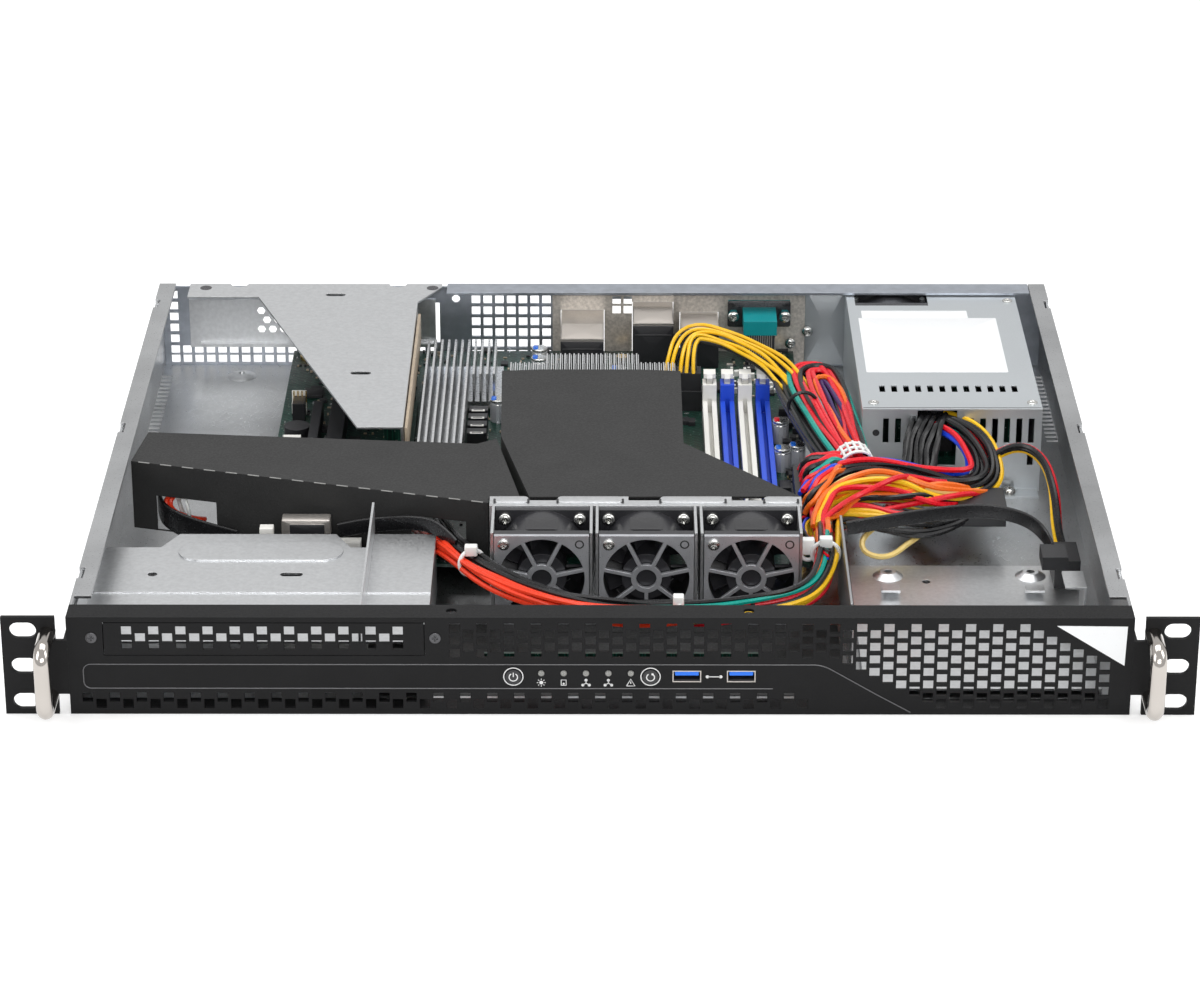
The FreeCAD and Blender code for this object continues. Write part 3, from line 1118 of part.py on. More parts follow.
def power_supply():
    """Flat steel case with slots, its rear fan, mains inlet and inner circuit."""
    x = ("psu_left", "psu_right")
    back = f"({REAR_FACE})"
    inner_x = ("psu_left + psu_sheet", "psu_right - psu_sheet")
    outer = block("psu_outer", x, ("psu_front", back), ("psu_low", "psu_high"))
    fan_z = "(psu_low + psu_high)/2"
    tools = [
        block("psu_inside", inner_x, ("psu_front + psu_sheet", f"{back} - psu_sheet"),
              ("psu_low + psu_sheet", "psu_high - psu_sheet")),
        block("psu_exit", ("psu_exit_left", "psu_exit_right"),
              ("psu_front - 1", "psu_front + psu_sheet"),
              ("psu_exit_low", "psu_high - psu_sheet")),
        block("psu_top_notch", ("psu_notch_left", "psu_notch_right"),
              ("psu_notch_front", f"{back} - psu_sheet"), ("psu_high - psu_sheet",
                                                           "psu_high + 1")),
        rod("psu_fan_mouth", "y", "fan_bore - 1", ("psu_fan_x", f"{back} - psu_sheet", fan_z),
            "psu_sheet + 1"),
        block("psu_inlet_mouth", ("inlet_left", "inlet_left + inlet_wide"),
              (f"{back} - psu_sheet", f"{back} + 1"),
              ("inlet_low", "inlet_low + inlet_high")),
    ]
    for number in range(int(SIZES["psu_slots"])):
        start = f"(psu_slot_first + {number}*5.5)"
        tools.append(block(f"psu_slot_{number}", (f"{start} - psu_slot_wide/2",
                                                  f"{start} + psu_slot_wide/2"),
                           ("psu_slot_y - psu_slot_long/2", "psu_slot_y + psu_slot_long/2"),
                           ("psu_high - psu_sheet", "psu_high + 1")))
    front = ("psu_front - 1", "psu_front + psu_sheet")
    for number in range(2):
        tools.append(block(f"front_slot_left_{number}",
                           (f"127.6 + {number}*5.5", f"130.2 + {number}*5.5"), front,
                           ("25", "37")))
    for number in range(6):
        tools.append(block(f"front_slot_right_{number}",
                           (f"166 + {number}*5.5", f"168.6 + {number}*5.5"), front,
                           ("25", "37")))
        if number in (0, 1, 5):
            tools.append(block(f"front_slot_low_{number}",
                               (f"166 + {number}*5.5", f"168.6 + {number}*5.5"), front,
                               ("14", "20")))
    case = outer
    for step, tool in enumerate(tools[:4]):
        case = cut(f"psu_case_{step}", case, [tool])
    case = cut("psu_vented", case, tools[4:])
    tab = block("psu_tab", ("174", "psu_right - 1"), ("psu_front - 9", "psu_front + 0.01"),
                ("psu_low", "psu_low + 1.2"))
    node(fuse("psu_case", [case, tab]), "psu_case")

    fan_rear = f"({back} - psu_sheet)"
    frame = fan_frame("psu_fan", "psu_fan_x", fan_rear, "psu_fan_depth", fan_z)
    trim = block("psu_fan_trim", ("psu_left", "psu_right"), ("psu_front", back),
                 ("psu_low + psu_sheet", "psu_high - psu_sheet"))
    node(common("psu_fan_frame", frame, trim), "psu_fan_frame")
    node(fan_rotor("psu_rotor", "psu_fan_x", fan_rear, "psu_fan_depth", fan_z),
         "psu_fan_rotor")

    shell = block("inlet_body", ("inlet_left + 0.3", "inlet_left + inlet_wide - 0.3"),
                  (f"{back} - inlet_deep", f"{back} + 0.6"),
                  ("inlet_low + 0.3", "inlet_low + inlet_high - 0.3"))
    mouth = block("inlet_mouth", ("inlet_left + 2.3", "inlet_left + inlet_wide - 2.3"),
                  (f"{back} - inlet_deep + 4", f"{back} + 2"),
                  ("inlet_low + 2.3", "inlet_low + inlet_high - 2.3"))
    pins = [block(f"inlet_pin_{number}", (f"inlet_left + {place} - 1", f"inlet_left + {place} + 1"),
                  (f"{back} - inlet_deep + 3", f"{back} - 3"), (low, f"{low} + 4"))
            for number, (place, low) in enumerate((("7", "(inlet_low + 6)"),
                                                   ("14", "(inlet_low + 11)"),
                                                   ("21", "(inlet_low + 6)")))]
    node(fuse("psu_inlet", [cut("inlet_shell", shell, [mouth])] + pins), "psu_inlet")

    floor = "(psu_low + psu_sheet)"
    parts = [block("psu_board", ("psu_left + 3", "psu_right - 3"),
                   ("psu_front + 6", "psu_front + 117"), (floor, f"{floor} + 4"))]
    for name, across, along, high in (("transformer", (31.9, 53.9), (53, 81), 24),
                                      ("sink_left", (7.9, 10.9), (21, 101), 26),
                                      ("sink_right", (65.9, 68.9), (21, 101), 26),
                                      ("choke", (17.9, 29.9), (27, 41), 16)):
        parts.append(block("psu_" + name, tuple(f"psu_left + {place}" for place in across),
                           tuple(f"psu_front + {place}" for place in along),
                           (f"{floor} + 3.9", f"{floor} + 4 + {high}")))
    for number, (across, along) in enumerate(((39.9, 33), (53.9, 33), (21.9, 93))):
        parts.append(prism(f"psu_can_{number}", "z", 12, "5.5",
                           (f"psu_left + {across}", f"psu_front + {along}", f"{floor} + 3.9"),
                           "20"))
    node(fuse("psu_circuit", parts), "psu_circuit")


# --- Cables ------------------------------------------------------------------------------

MAIN_HARNESS = [
    (149, 222, 29), (153, 211, 34), (160, 202, 33), (160, 191, 25), (150, 186, 17),
    (134, 185, 14), (118, 190, 14), (108, 212, 24), (105, 245, 30), (103, 282, 31),
    (86, 282, 31), (89, 245, 31),
    (93, 215, 32.5), (93, 195, 34.5), (91, 178, 35.5), (89, 164, 35), (89, 164, 27),
]
DRIVE_BRANCH = [(141, 185.5, 15.4), (140, 176, 12), (144, 166, 15), (150, 162, 19),
                (157, 162, 19)]
FRONT_HARNESS = [
    (110, 176, 10), (104, 158, 14), (99, 136, 24), (97, 108, 30), (96, 80, 28), (86, 56, 26),
    (64, 42, 27), (30, 36, 28), (0, 38, 28), (-28, 50, 29), (-48, 72, 29), (-60, 98, 26),
    (-68, 122, 21), (-72, 140, 16), (-76, 156, 13),
]
CPU_CABLE = [(39, 298, 28), (39, 298, 35), (46, 303, 39.3), (60, 297, 39), (73, 285, 36.5),
             (84, 268, 32.5)]
BAY_CABLE = [(-113, 128.7, 18), (-113, 128, 23), (-104, 126.5, 26), (-90, 123.5, 28.5),
             (-78, 119, 31), (-69, 113, 31), (-62, 104, 27)]
SATA_CABLE = [(106, 122, 27), (124, 124, 29.5), (146, 129, 31), (168, 133, 31), (186, 129, 28),
              (194, 121, 21), (194, 112.5, 21)]
POWER_CABLE = [(167, 171.7, 19), (167, 181, 19), (173, 193, 29), (187, 197, 34),
               (197, 187, 32), (200.5, 168, 25), (200.5, 150, 12), (200.5, 127.7, 12)]


def cables():
    """Bundles that run between their plugs, as plain round solids."""
    trunk = tube(MAIN_HARNESS, size("trunk_radius"), report="main_harness")
    branch = tube(DRIVE_BRANCH, size("branch_radius"), report="drive branch")
    node(feature("trunk", trunk.fuse(branch)), "main_harness")
    for name, label, points, radius in (
            ("front_loom", "front_harness", FRONT_HARNESS, "front_radius"),
            ("cpu_loom", "cpu_power_cable", CPU_CABLE, "cpu_radius"),
            ("bay_loom", "bay_cable", BAY_CABLE, "bay_radius"),
            ("data_lead", "sata_cable", SATA_CABLE, "sata_radius"),
            ("power_lead", "drive_power_cable", POWER_CABLE, "power_radius")):
        node(feature(name, tube(points, size(radius), report=label)), label)

    data_low = "(tray_top + power_plug_high)"
    node(block("data_plug", ("188.5", "199.5"), ("99", "112.5"),
               (data_low, f"{data_low} + 6")), "sata_plug")
    node(block("power_plug", ("195", "206"), ("108", "127.7"),
               ("tray_top", data_low)), "drive_power_plug")


def check_and_export():
    """Stop if any object failed, then write one STEP file for each sub-part."""
    DOC.recompute()
    for item in DOC.Objects:
        if "Invalid" in item.State or "Error" in item.State:
            raise RuntimeError(f"{item.Label} failed: {item.State}")
    os.makedirs("parts", exist_ok=True)
    for item in NODES:
        shape = item.Shape
        if shape.isNull() or not shape.isValid():
            raise RuntimeError(f"{item.Label} has no valid shape")
        shape.exportStep(f"parts/{item.Label}.step")
    print(len(NODES), "sub-parts")


for build in (chassis_tray, rear_panel, front_bezel, drive_bay_cover, rack_ears, pull_handles,
              front_controls, slim_drive_tray, hard_drive_tray, fans, motherboard, memory,
              heat_sinks, board_parts, side_air_duct, cpu_air_duct, riser, rear_ports,
              power_supply, cables):
    build()
check_and_export()
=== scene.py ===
"""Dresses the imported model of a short 1U rack server whose cover is off.

Lengths are metres in the frame of the solids: x to the right, y to the rear, z up.
"""

import itertools
import math

import bpy
import numpy as np
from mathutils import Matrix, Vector


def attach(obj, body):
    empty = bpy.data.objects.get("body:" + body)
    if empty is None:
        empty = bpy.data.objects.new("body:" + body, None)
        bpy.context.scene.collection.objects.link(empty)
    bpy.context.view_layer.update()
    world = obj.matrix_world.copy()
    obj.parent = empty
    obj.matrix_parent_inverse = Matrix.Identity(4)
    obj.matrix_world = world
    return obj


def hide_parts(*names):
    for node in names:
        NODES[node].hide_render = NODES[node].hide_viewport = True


bl_info = {
    "name": "Rack server dressing",
    "version": (1, 0, 0),
    "blender": (4, 5, 0),
    "location": "3D View > Sidebar > Server",
    "description": "Finishes, wires and small parts for a short 1U rack server",
    "category": "Object",
}

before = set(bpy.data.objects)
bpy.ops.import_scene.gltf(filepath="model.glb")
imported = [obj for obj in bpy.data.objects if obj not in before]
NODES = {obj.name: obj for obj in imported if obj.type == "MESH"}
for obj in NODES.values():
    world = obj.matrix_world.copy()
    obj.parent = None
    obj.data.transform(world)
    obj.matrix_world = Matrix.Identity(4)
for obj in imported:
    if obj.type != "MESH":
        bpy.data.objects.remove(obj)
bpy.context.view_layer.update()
CHASSIS = "chassis"
MM = 0.001


# --- Settings --------------------------------------------------------------------------

def colour_setting(name, description, default):
    return bpy.props.FloatVectorProperty(
        name=name, description=description, subtype="COLOR", size=3, min=0.0, max=1.0,
        default=default)


def length_setting(name, description, default):
    return bpy.props.FloatProperty(name=name, description=description, unit="LENGTH",
                                   min=0.0001, default=default)


class ServerColours(bpy.types.PropertyGroup):
    """Base colours of the finishes."""

    zinc: colour_setting("Zinc sheet", "Chassis, shelves and brackets", (0.64, 0.65, 0.66))
    supply: colour_setting("Supply case", "Sheet of the power supply", (0.56, 0.59, 0.61))
    paint: colour_setting("Bezel paint", "Powder coat of the bezel and ears",
                          (0.0065, 0.0065, 0.0070))
    nickel: colour_setting("Handles", "Plating of the pull handles", (0.47, 0.44, 0.41))
    duct: colour_setting("Duct film", "Folded film of the air ducts", (0.021, 0.021, 0.021))
    moulding: colour_setting("Black moulding", "Fans, plugs and sockets",
                             (0.014, 0.014, 0.016))
    guard: colour_setting("Fan guard", "Metallic grey of the fan guards", (0.56, 0.57, 0.60))
    ivory: colour_setting("White moulding", "White sockets and latches", (0.80, 0.79, 0.75))
    blue: colour_setting("Blue moulding", "Blue memory sockets", (0.015, 0.075, 0.62))
    teal: colour_setting("Teal moulding", "Body of the serial port", (0.0, 0.24, 0.26))
    board: colour_setting("Circuit board", "Solder mask", (0.004, 0.030, 0.020))
    fins: colour_setting("Heat sink", "Extruded aluminium", (0.72, 0.73, 0.74))
    tin: colour_setting("Port shells", "Tinned sheet of the ports", (0.62, 0.58, 0.54))
    label: colour_setting("Blank label", "Paper label on the power supply",
                          (0.80, 0.81, 0.82))


class ServerSizes(bpy.types.PropertyGroup):
    """Sizes of the drawn wires."""

    power_wire: length_setting("Power wire", "Radius of a power wire", 0.0013)
    signal_wire: length_setting("Signal wire", "Radius of a signal wire", 0.00062)
    spacing: length_setting("Wire step", "Distance between rings along a wire", 0.0022)


def colours():
    return bpy.context.scene.server_colours


def sizes():
    return bpy.context.scene.server_sizes


# --- Finishes --------------------------------------------------------------------------

MIDDLE_BAND = (0.3, 0.7)


class Shader:
    """Node tree of one finish, built up from its principled shader."""

    def __init__(self, name):
        self.material = bpy.data.materials.new(name)
        self.material.use_nodes = True
        self.tree = self.material.node_tree
        self.tree.nodes.clear()
        self.output = self.add("ShaderNodeOutputMaterial")
        self.surface = self.add("ShaderNodeBsdfPrincipled")
        self.link(self.surface.outputs["BSDF"], self.output.inputs["Surface"])
        self.place = self.add("ShaderNodeTexCoord").outputs["Object"]

    def add(self, kind, sockets=None, **settings):
        """New node with its settings, and with a value or a link for each input named."""
        node = self.tree.nodes.new(kind)
        for key, value in settings.items():
            setattr(node, key, value)
        for key, value in (sockets or {}).items():
            if isinstance(value, bpy.types.NodeSocket):
                self.link(value, node.inputs[key])
            else:
                node.inputs[key].default_value = value
        return node

    def link(self, start, end):
        self.tree.links.new(start, end)

    def stretched(self, scale=(1.0, 1.0, 1.0), turn=0.0):
        """Object coordinates scaled by a vector and turned about z."""
        return self.add("ShaderNodeMapping", {
            "Scale": scale, "Rotation": (0.0, 0.0, turn),
            "Vector": self.place}).outputs["Vector"]

    def noise(self, scale, detail=3.0, stretch=(1.0, 1.0, 1.0)):
        return self.add("ShaderNodeTexNoise", {
            "Scale": scale, "Detail": detail, "Roughness": 0.55,
            "Vector": self.stretched(stretch)}).outputs["Fac"]

    def ramp(self, source, low, high):
        """Colour that runs from low to high over the middle of the source's range."""
        node = self.add("ShaderNodeValToRGB", {"Fac": source})
        for element, position, colour in zip(node.color_ramp.elements, MIDDLE_BAND,
                                             (low, high)):
            element.position = position
            element.color = (*colour, 1.0)
        return node.outputs["Color"]

    def spread(self, source, low, high, band=None):
        """Value that runs from low to high as the source crosses a band."""
        start, end = band or MIDDLE_BAND
        return self.add("ShaderNodeMapRange", {
            "Value": source, "From Min": start, "From Max": end, "To Min": low,
            "To Max": high}).outputs["Result"]

    def relief(self, height, depth, round_edge=0.0):
        """Bump of a depth, over edges that shade as if rounded by a radius."""
        node = self.add("ShaderNodeBump", {"Strength": 1.0, "Distance": depth,
                                           "Height": height})
        if round_edge:
            bevel = self.add("ShaderNodeBevel", {"Radius": round_edge}, samples=4)
            self.link(bevel.outputs["Normal"], node.inputs["Normal"])
        self.link(node.outputs["Normal"], self.surface.inputs["Normal"])

    def set(self, **values):
        for key, value in values.items():
            self.surface.inputs[key.replace("_", " ")].default_value = value


def shade(colour, factor):
    return tuple(min(1.0, channel * factor) for channel in colour)


def finish(name, colour, rough=0.5, metal=0.0, mottle=0.06, patch=45.0, grain=0.00002,
           grain_scale=2500.0, stretch=(1.0, 1.0, 1.0), band=0.08, edge=0.0, **sockets):
    """Plain finish: slow change of tone, a band of roughness and a fine grain."""
    shader = Shader(name)
    slow = shader.noise(patch, 4.0, stretch)
    tone = shader.ramp(slow, shade(colour, 1 - mottle), shade(colour, 1 + mottle))
    shader.link(tone, shader.surface.inputs["Base Color"])
    fine = shader.noise(grain_scale, 2.0, stretch)
    shader.link(shader.spread(fine, max(0.02, rough - band), rough + band),
                shader.surface.inputs["Roughness"])
    shader.relief(fine, grain, edge)
    shader.set(Metallic=metal, **sockets)
    return shader.material


MATERIALS = {}


def material(name):
    return MATERIALS[name]


WIRE_COLOURS = {
    "red": (0.68, 0.008, 0.020), "scarlet": (0.85, 0.055, 0.018),
    "cream": (0.78, 0.58, 0.20), "black": (0.008, 0.008, 0.009),
    "yellow": (0.80, 0.47, 0.012), "orange": (0.78, 0.145, 0.012),
    "blue": (0.010, 0.055, 0.62), "green": (0.0, 0.30, 0.24),
    "purple": (0.030, 0.012, 0.10),
}


def moulded(name, colour, rough, mottle, patch=60.0, edge=0.0003):
    """Finish of a moulded plastic."""
    return finish(name, colour, rough, 0.0, mottle, patch, 0.00001, 2500.0, edge=edge)


def make_finishes():
    """Every finish of the server, by name."""
    tint = colours()
    made = {
        "zinc": finish("zinc_sheet", tint.zinc, 0.36, 1.0, 0.07, 520.0, 0.000004, 1400.0,
                       edge=0.0003),
        # Darker, more mottled copy of the zinc sheet for the chassis tray and drive bay side:
        # painted shade.
        "zinc_painted_shade": finish("zinc_sheet_shaded", shade(tint.zinc, 0.72), 0.34, 1.0, 0.22,
                            14.0, 0.000004, 1200.0, edge=0.0003),
        "supply": finish("supply_sheet", tint.supply, 0.40, 0.85, 0.05, 12.0, 0.000004,
                         1600.0, edge=0.0003),
        "paint": finish("powder_coat", tint.paint, 0.47, 0.0, 0.15, 60.0, 0.00005, 1500.0,
                        edge=0.0004, Specular_IOR_Level=0.16),
        "nickel": finish("bright_nickel", tint.nickel, 0.13, 1.0, 0.04, 30.0, 0.000002,
                         900.0, band=0.03),
        "duct": finish("duct_film", tint.duct, 0.58, 0.0, 0.12, 50.0, 0.00008, 1100.0,
                       edge=0.0004, Specular_IOR_Level=0.32),
        "moulding": moulded("black_moulding", tint.moulding, 0.42, 0.10),
        "fan_black": moulded("fan_moulding", shade(tint.moulding, 1.6), 0.34, 0.10, 80.0),
        "guard": finish("guard_coat", tint.guard, 0.34, 0.75, 0.10, 60.0, 0.000008,
                        2500.0, edge=0.0004),
        "ivory": moulded("ivory_moulding", tint.ivory, 0.42, 0.04),
        "blue": moulded("blue_moulding", tint.blue, 0.38, 0.06),
        "teal": moulded("teal_moulding", tint.teal, 0.40, 0.05, edge=0.0004),
        "fins": finish("sawn_aluminium", tint.fins, 0.30, 1.0, 0.06, 40.0, 0.000006,
                       900.0, stretch=(1.0, 1.0, 8.0)),
        "tin": finish("tinned_sheet", tint.tin, 0.36, 0.9, 0.08, 70.0, 0.000006, 1200.0,
                      edge=0.0003),
        "brass": finish("turned_brass", (0.66, 0.48, 0.20), 0.28, 1.0, 0.06),
        "can": finish("capacitor_sleeve", (0.62, 0.64, 0.68), 0.34, 0.35, 0.05),
        "lamp": finish("lamp_lens", (0.36, 0.36, 0.34), 0.25, 0.0, 0.05,
                       Transmission_Weight=0.3),
        "gold": finish("contact_gold", (0.80, 0.55, 0.18), 0.25, 1.0, 0.05),
        "screw": finish("screw_steel", (0.58, 0.58, 0.56), 0.24, 1.0, 0.08, edge=0.0002),
        "screw_black": finish("screw_oxide", (0.10, 0.10, 0.105), 0.32, 0.9, 0.10,
                              edge=0.0002),
        "label": finish("blank_paper", tint.label, 0.55, 0.0, 0.015, 20.0, 0.000004,
                        900.0),
        "print": finish("panel_print", (0.72, 0.72, 0.72), 0.5, 0.0, 0.03),
        "badge": finish("blank_badge", (0.82, 0.83, 0.84), 0.35, 0.0, 0.02, 20.0,
                        0.000003, 900.0),
        "chip": finish("chip_epoxy", (0.020, 0.020, 0.022), 0.50, 0.0, 0.10, 200.0,
                       0.00002, 3000.0, edge=0.0002),
        "ceramic": finish("ceramic_part", (0.42, 0.34, 0.25), 0.40, 0.0, 0.12, 300.0),
        "solder": finish("solder", (0.66, 0.66, 0.67), 0.30, 1.0, 0.08, 400.0),
        "usb_blue": finish("usb_tongue", (0.01, 0.16, 0.78), 0.35, 0.0, 0.04),
        "nylon": finish("nylon_tie", (0.82, 0.82, 0.80), 0.38, 0.0, 0.03, 60.0, 0.00001,
                        1500.0, edge=0.0002, Subsurface_Weight=0.05),
        "beige": finish("port_top", (0.50, 0.46, 0.42), 0.45, 0.3, 0.04),
        "shield": finish("shield_sheet", (0.60, 0.56, 0.51), 0.42, 0.45, 0.22, 700.0),
        "rear": finish("rear_sheet", (0.42, 0.45, 0.50), 0.38, 1.0, 0.10, 200.0,
                       edge=0.0003),
        # Light grey of the thin ridge along the control panel film's edges: painted highlight on
        # a real raised edge.
        "painted_highlight_ridge": finish("film_edge_painted_highlight", (0.09, 0.09, 0.095), 0.35, 0.0, 0.05),
        "dash": finish("cut_edge", (0.30, 0.30, 0.29), 0.6, 0.0, 0.05),
        "can_blue": finish("can_stripe", (0.01, 0.14, 0.65), 0.30, 0.3, 0.05),
    }
    for word, colour in WIRE_COLOURS.items():
        made["wire_" + word] = finish("insulation_" + word, colour, 0.30, 0.0, 0.08, 120.0,
                                      0.000006, 900.0, band=0.06, Coat_Weight=0.06,
                                      Coat_Roughness=0.2,
                                      Specular_IOR_Level=0.36)
    made["board"] = board_finish(tint.board)
    made["floor"] = floor_finish()
    MATERIALS.update(made)


def board_finish(colour):
    """Solder mask with fine copper lines under it and pale print specks over it."""
    shader = Shader("circuit_board")
    lines = shader.add("ShaderNodeTexBrick", {
        "Scale": 90.0, "Mortar Size": 0.018, "Color1": (*colour, 1.0),
        "Color2": (*shade(colour, 0.6), 1.0), "Mortar": (*shade(colour, 2.6), 1.0),
        "Vector": shader.stretched((1.0, 1.3, 1.0), 0.785)})
    specks = shader.add("ShaderNodeTexVoronoi", {"Scale": 420.0,
                                                 "Vector": shader.stretched()})
    mix = shader.add("ShaderNodeMix", {
        "Factor": shader.spread(specks.outputs["Distance"], 1.0, 0.0, (0.10, 0.14)),
        6: lines.outputs["Color"], 7: (0.30, 0.33, 0.31, 1.0)}, data_type="RGBA")
    shader.link(mix.outputs[2], shader.surface.inputs["Base Color"])
    shader.link(shader.spread(shader.noise(300.0), 0.28, 0.42),
                shader.surface.inputs["Roughness"])
    shader.relief(lines.outputs["Fac"], 0.00003)
    return shader.material


FLOOR_GLOW = 0.34


def floor_finish():
    """Pale floor that is white to the camera and to mirror-like surfaces."""
    shader = Shader("studio_floor")
    shader.set(Base_Color=(0.86, 0.86, 0.86, 1.0), Roughness=0.9)
    path = shader.add("ShaderNodeLightPath")
    seen = shader.add("ShaderNodeMath", {0: path.outputs["Is Camera Ray"],
                                         1: path.outputs["Is Glossy Ray"]},
                      operation="MAXIMUM")
    strength = shader.add("ShaderNodeMath", {0: seen.outputs[0], 1: FLOOR_GLOW},
                          operation="MULTIPLY")
    glow = shader.add("ShaderNodeEmission", {"Color": (1.0, 1.0, 1.0, 1.0),
                                             "Strength": strength.outputs[0]})
    both = shader.add("ShaderNodeAddShader", {0: shader.surface.outputs["BSDF"],
                                              1: glow.outputs["Emission"]})
    shader.link(both.outputs["Shader"], shader.output.inputs["Surface"])
    return shader.material


# --- Surfaces --------------------------------------------------------------------------

def grid_faces(rows, columns, wrap=False):
    """Quads between neighbouring rows and columns of a grid; wrap joins the last column."""
    across = np.arange(columns if wrap else columns - 1)
    up = np.arange(rows - 1)[:, None]
    following = (across + 1) % columns
    first = up * columns + across
    second = up * columns + following
    return np.stack([first, second, second + columns, first + columns], -1).reshape(-1, 4)


def placed(name, data):
    """New object in the scene."""
    piece = bpy.data.objects.new(name, data)
    bpy.context.scene.collection.objects.link(piece)
    return piece


class Shell:
    """Gathers grids and boxes, each with a finish, into one mesh."""

    def __init__(self):
        self.finishes, self.points, self.faces, self.marks = [], [], [], []
        self.count = 0

    def add(self, points, faces, finish_name):
        if finish_name not in self.finishes:
            self.finishes.append(finish_name)
        points = np.asarray(points, float).reshape(-1, 3)
        self.points.append(points)
        self.faces.append(np.asarray(faces) + self.count)
        self.marks.append(np.full(len(faces), self.finishes.index(finish_name)))
        self.count += len(points)

    def grid(self, points, finish_name, wrap=False):
        """Surface through a grid of points, as rows by columns."""
        rows, columns = points.shape[:2]
        self.add(points, grid_faces(rows, columns, wrap), finish_name)

    def boxes(self, lows, highs, finish_name):
        """Boxes from arrays of low and high corners: corner = low + bits*(high - low)."""
        lows, highs = np.atleast_2d(lows), np.atleast_2d(highs)
        bits = np.array(list(itertools.product((0, 1), repeat=3)))
        points = lows[:, None] + bits * (highs - lows)[:, None]
        quads = np.array([(0, 1, 3, 2), (4, 6, 7, 5), (0, 4, 5, 1), (2, 3, 7, 6),
                          (0, 2, 6, 4), (1, 5, 7, 3)])
        faces = quads + 8 * np.arange(len(lows))[:, None, None]
        self.add(points, faces.reshape(-1, 4), finish_name)

    def lathe(self, profile, centre, axis, finish_name, sides=24):
        """Surface of turning, in mm: P(s, a) = centre + along(s)*axis + radius(s)*(cos a, sin a).
        """
        profile = np.asarray(profile, float)
        axis = np.asarray(axis, float)
        first = np.roll(axis, 1)
        second = np.cross(axis, first)
        angle = np.arange(sides) * 2 * math.pi / sides
        ring = np.cos(angle)[:, None] * first + np.sin(angle)[:, None] * second
        points = (np.asarray(centre) + profile[:, 0, None, None] * axis
                  + profile[:, 1, None, None] * ring)
        self.grid(MM * points, finish_name, True)

    def make(self, name, body=CHASSIS, smooth=40.0, replaces=()):
        """Write the mesh, shade it and let it ride on its body."""
        points, faces = np.concatenate(self.points), np.concatenate(self.faces)
        mesh = bpy.data.meshes.new(name)
        mesh.vertices.add(len(points))
        mesh.vertices.foreach_set("co", points.astype(np.float32).ravel())
        mesh.loops.add(faces.size)
        mesh.loops.foreach_set("vertex_index", faces.astype(np.int32).ravel())
        mesh.polygons.add(len(faces))
        mesh.polygons.foreach_set("loop_start", np.arange(len(faces), dtype=np.int32) * 4)
        mesh.polygons.foreach_set("material_index",
                                  np.concatenate(self.marks).astype(np.int32))
        for finish_name in self.finishes:
            mesh.materials.append(material(finish_name))
        mesh.update(calc_edges=True)
        mesh.validate()
        piece = placed(name, mesh)
        if smooth:
            mesh.polygons.foreach_set("use_smooth", np.ones(len(mesh.polygons), bool))
            mesh.set_sharp_from_angle(angle=math.radians(smooth))
        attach(piece, body)
        if replaces:
            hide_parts(*replaces)
        return piece


def metres(route):
    return [[MM * value for value in point] for point in route]


def route_line(route, spacing):
    """Even points along the quadratic curve whose control points are a route in mm."""
    points = metres(route)
    curve = bpy.data.curves.new("route", "CURVE")
    curve.dimensions = "3D"
    curve.resolution_u = 16
    spline = curve.splines.new("NURBS")
    spline.points.add(len(points) - 1)
    for knot, point in zip(spline.points, points):
        knot.co = (*point, 1.0)
    spline.order_u = 3
    spline.use_endpoint_u = True
    holder = placed("route", curve)
    bpy.context.view_layer.update()
    depsgraph = bpy.context.evaluated_depsgraph_get()
    mesh = bpy.data.meshes.new_from_object(holder.evaluated_get(depsgraph))
    line = np.empty(len(mesh.vertices) * 3)
    mesh.vertices.foreach_get("co", line)
    line = line.reshape(-1, 3)
    bpy.data.objects.remove(holder)
    bpy.data.curves.remove(curve)
    bpy.data.meshes.remove(mesh)
    steps = np.linalg.norm(np.diff(line, axis=0), axis=1)
    along = np.concatenate([[0.0], np.cumsum(steps)])
    count = max(8, int(along[-1] / spacing))
    even = np.linspace(0.0, along[-1], count)
    return np.stack([np.interp(even, along, line[:, axis]) for axis in range(3)], -1)


def frames_along(line):
    """Tangent, side and top at each point, carried along with no turn about the tangent."""
    tangent = np.gradient(line, axis=0)
    tangent /= np.linalg.norm(tangent, axis=1, keepdims=True)
    start = np.cross(tangent[0], (0.0, 0.0, 1.0))
    if np.linalg.norm(start) < 0.2:
        start = np.cross(tangent[0], (0.0, 1.0, 0.0))

    def carry(side, direction):
        side = side - direction * side.dot(direction)
        return side / np.linalg.norm(side)

    side = np.array(list(itertools.accumulate(
        tangent[1:], carry, initial=carry(start, tangent[0]))))
    return tangent, side, np.cross(side, tangent)


def tube_grid(line, radius, sides=8):
    """P(s, a) = line(s) + radius*(cos a*side(s) + sin a*top(s))."""
    _, side, top = frames_along(line)
    angle = np.arange(sides) * 2 * math.pi / sides
    ring = np.cos(angle)[:, None] * side[:, None] + np.sin(angle)[:, None] * top[:, None]
    return line[:, None] + radius * ring


def closed_tube(shell, line, radius, finish_name, sides=8):
    """Tube closed by flat ends that meet at the line's first and last points."""
    points = tube_grid(line, radius, sides)
    first = np.repeat(line[:1, None], sides, 1)
    last = np.repeat(line[-1:, None], sides, 1)
    shell.grid(np.concatenate([first, points, last]), finish_name, True)


def round_lay(words, spread):
    """Places in a round bundle: spread*sqrt((k + 0.5)/n) out, at an angle of 2.4*k."""
    words = words.split()
    count = len(words)
    return [(word, spread * math.sqrt((k + 0.5) / count) * math.cos(2.4 * k),
             spread * math.sqrt((k + 0.5) / count) * math.sin(2.4 * k))
            for k, word in enumerate(words)]


def flat_lay(words, pitch, rows=2):
    """Places side by side in rows, for colour words listed row by row."""
    words = words.split()
    columns = math.ceil(len(words) / rows)
    return [(word, pitch * (k % columns - (columns - 1) / 2),
             pitch * (k // columns - (rows - 1) / 2)) for k, word in enumerate(words)]


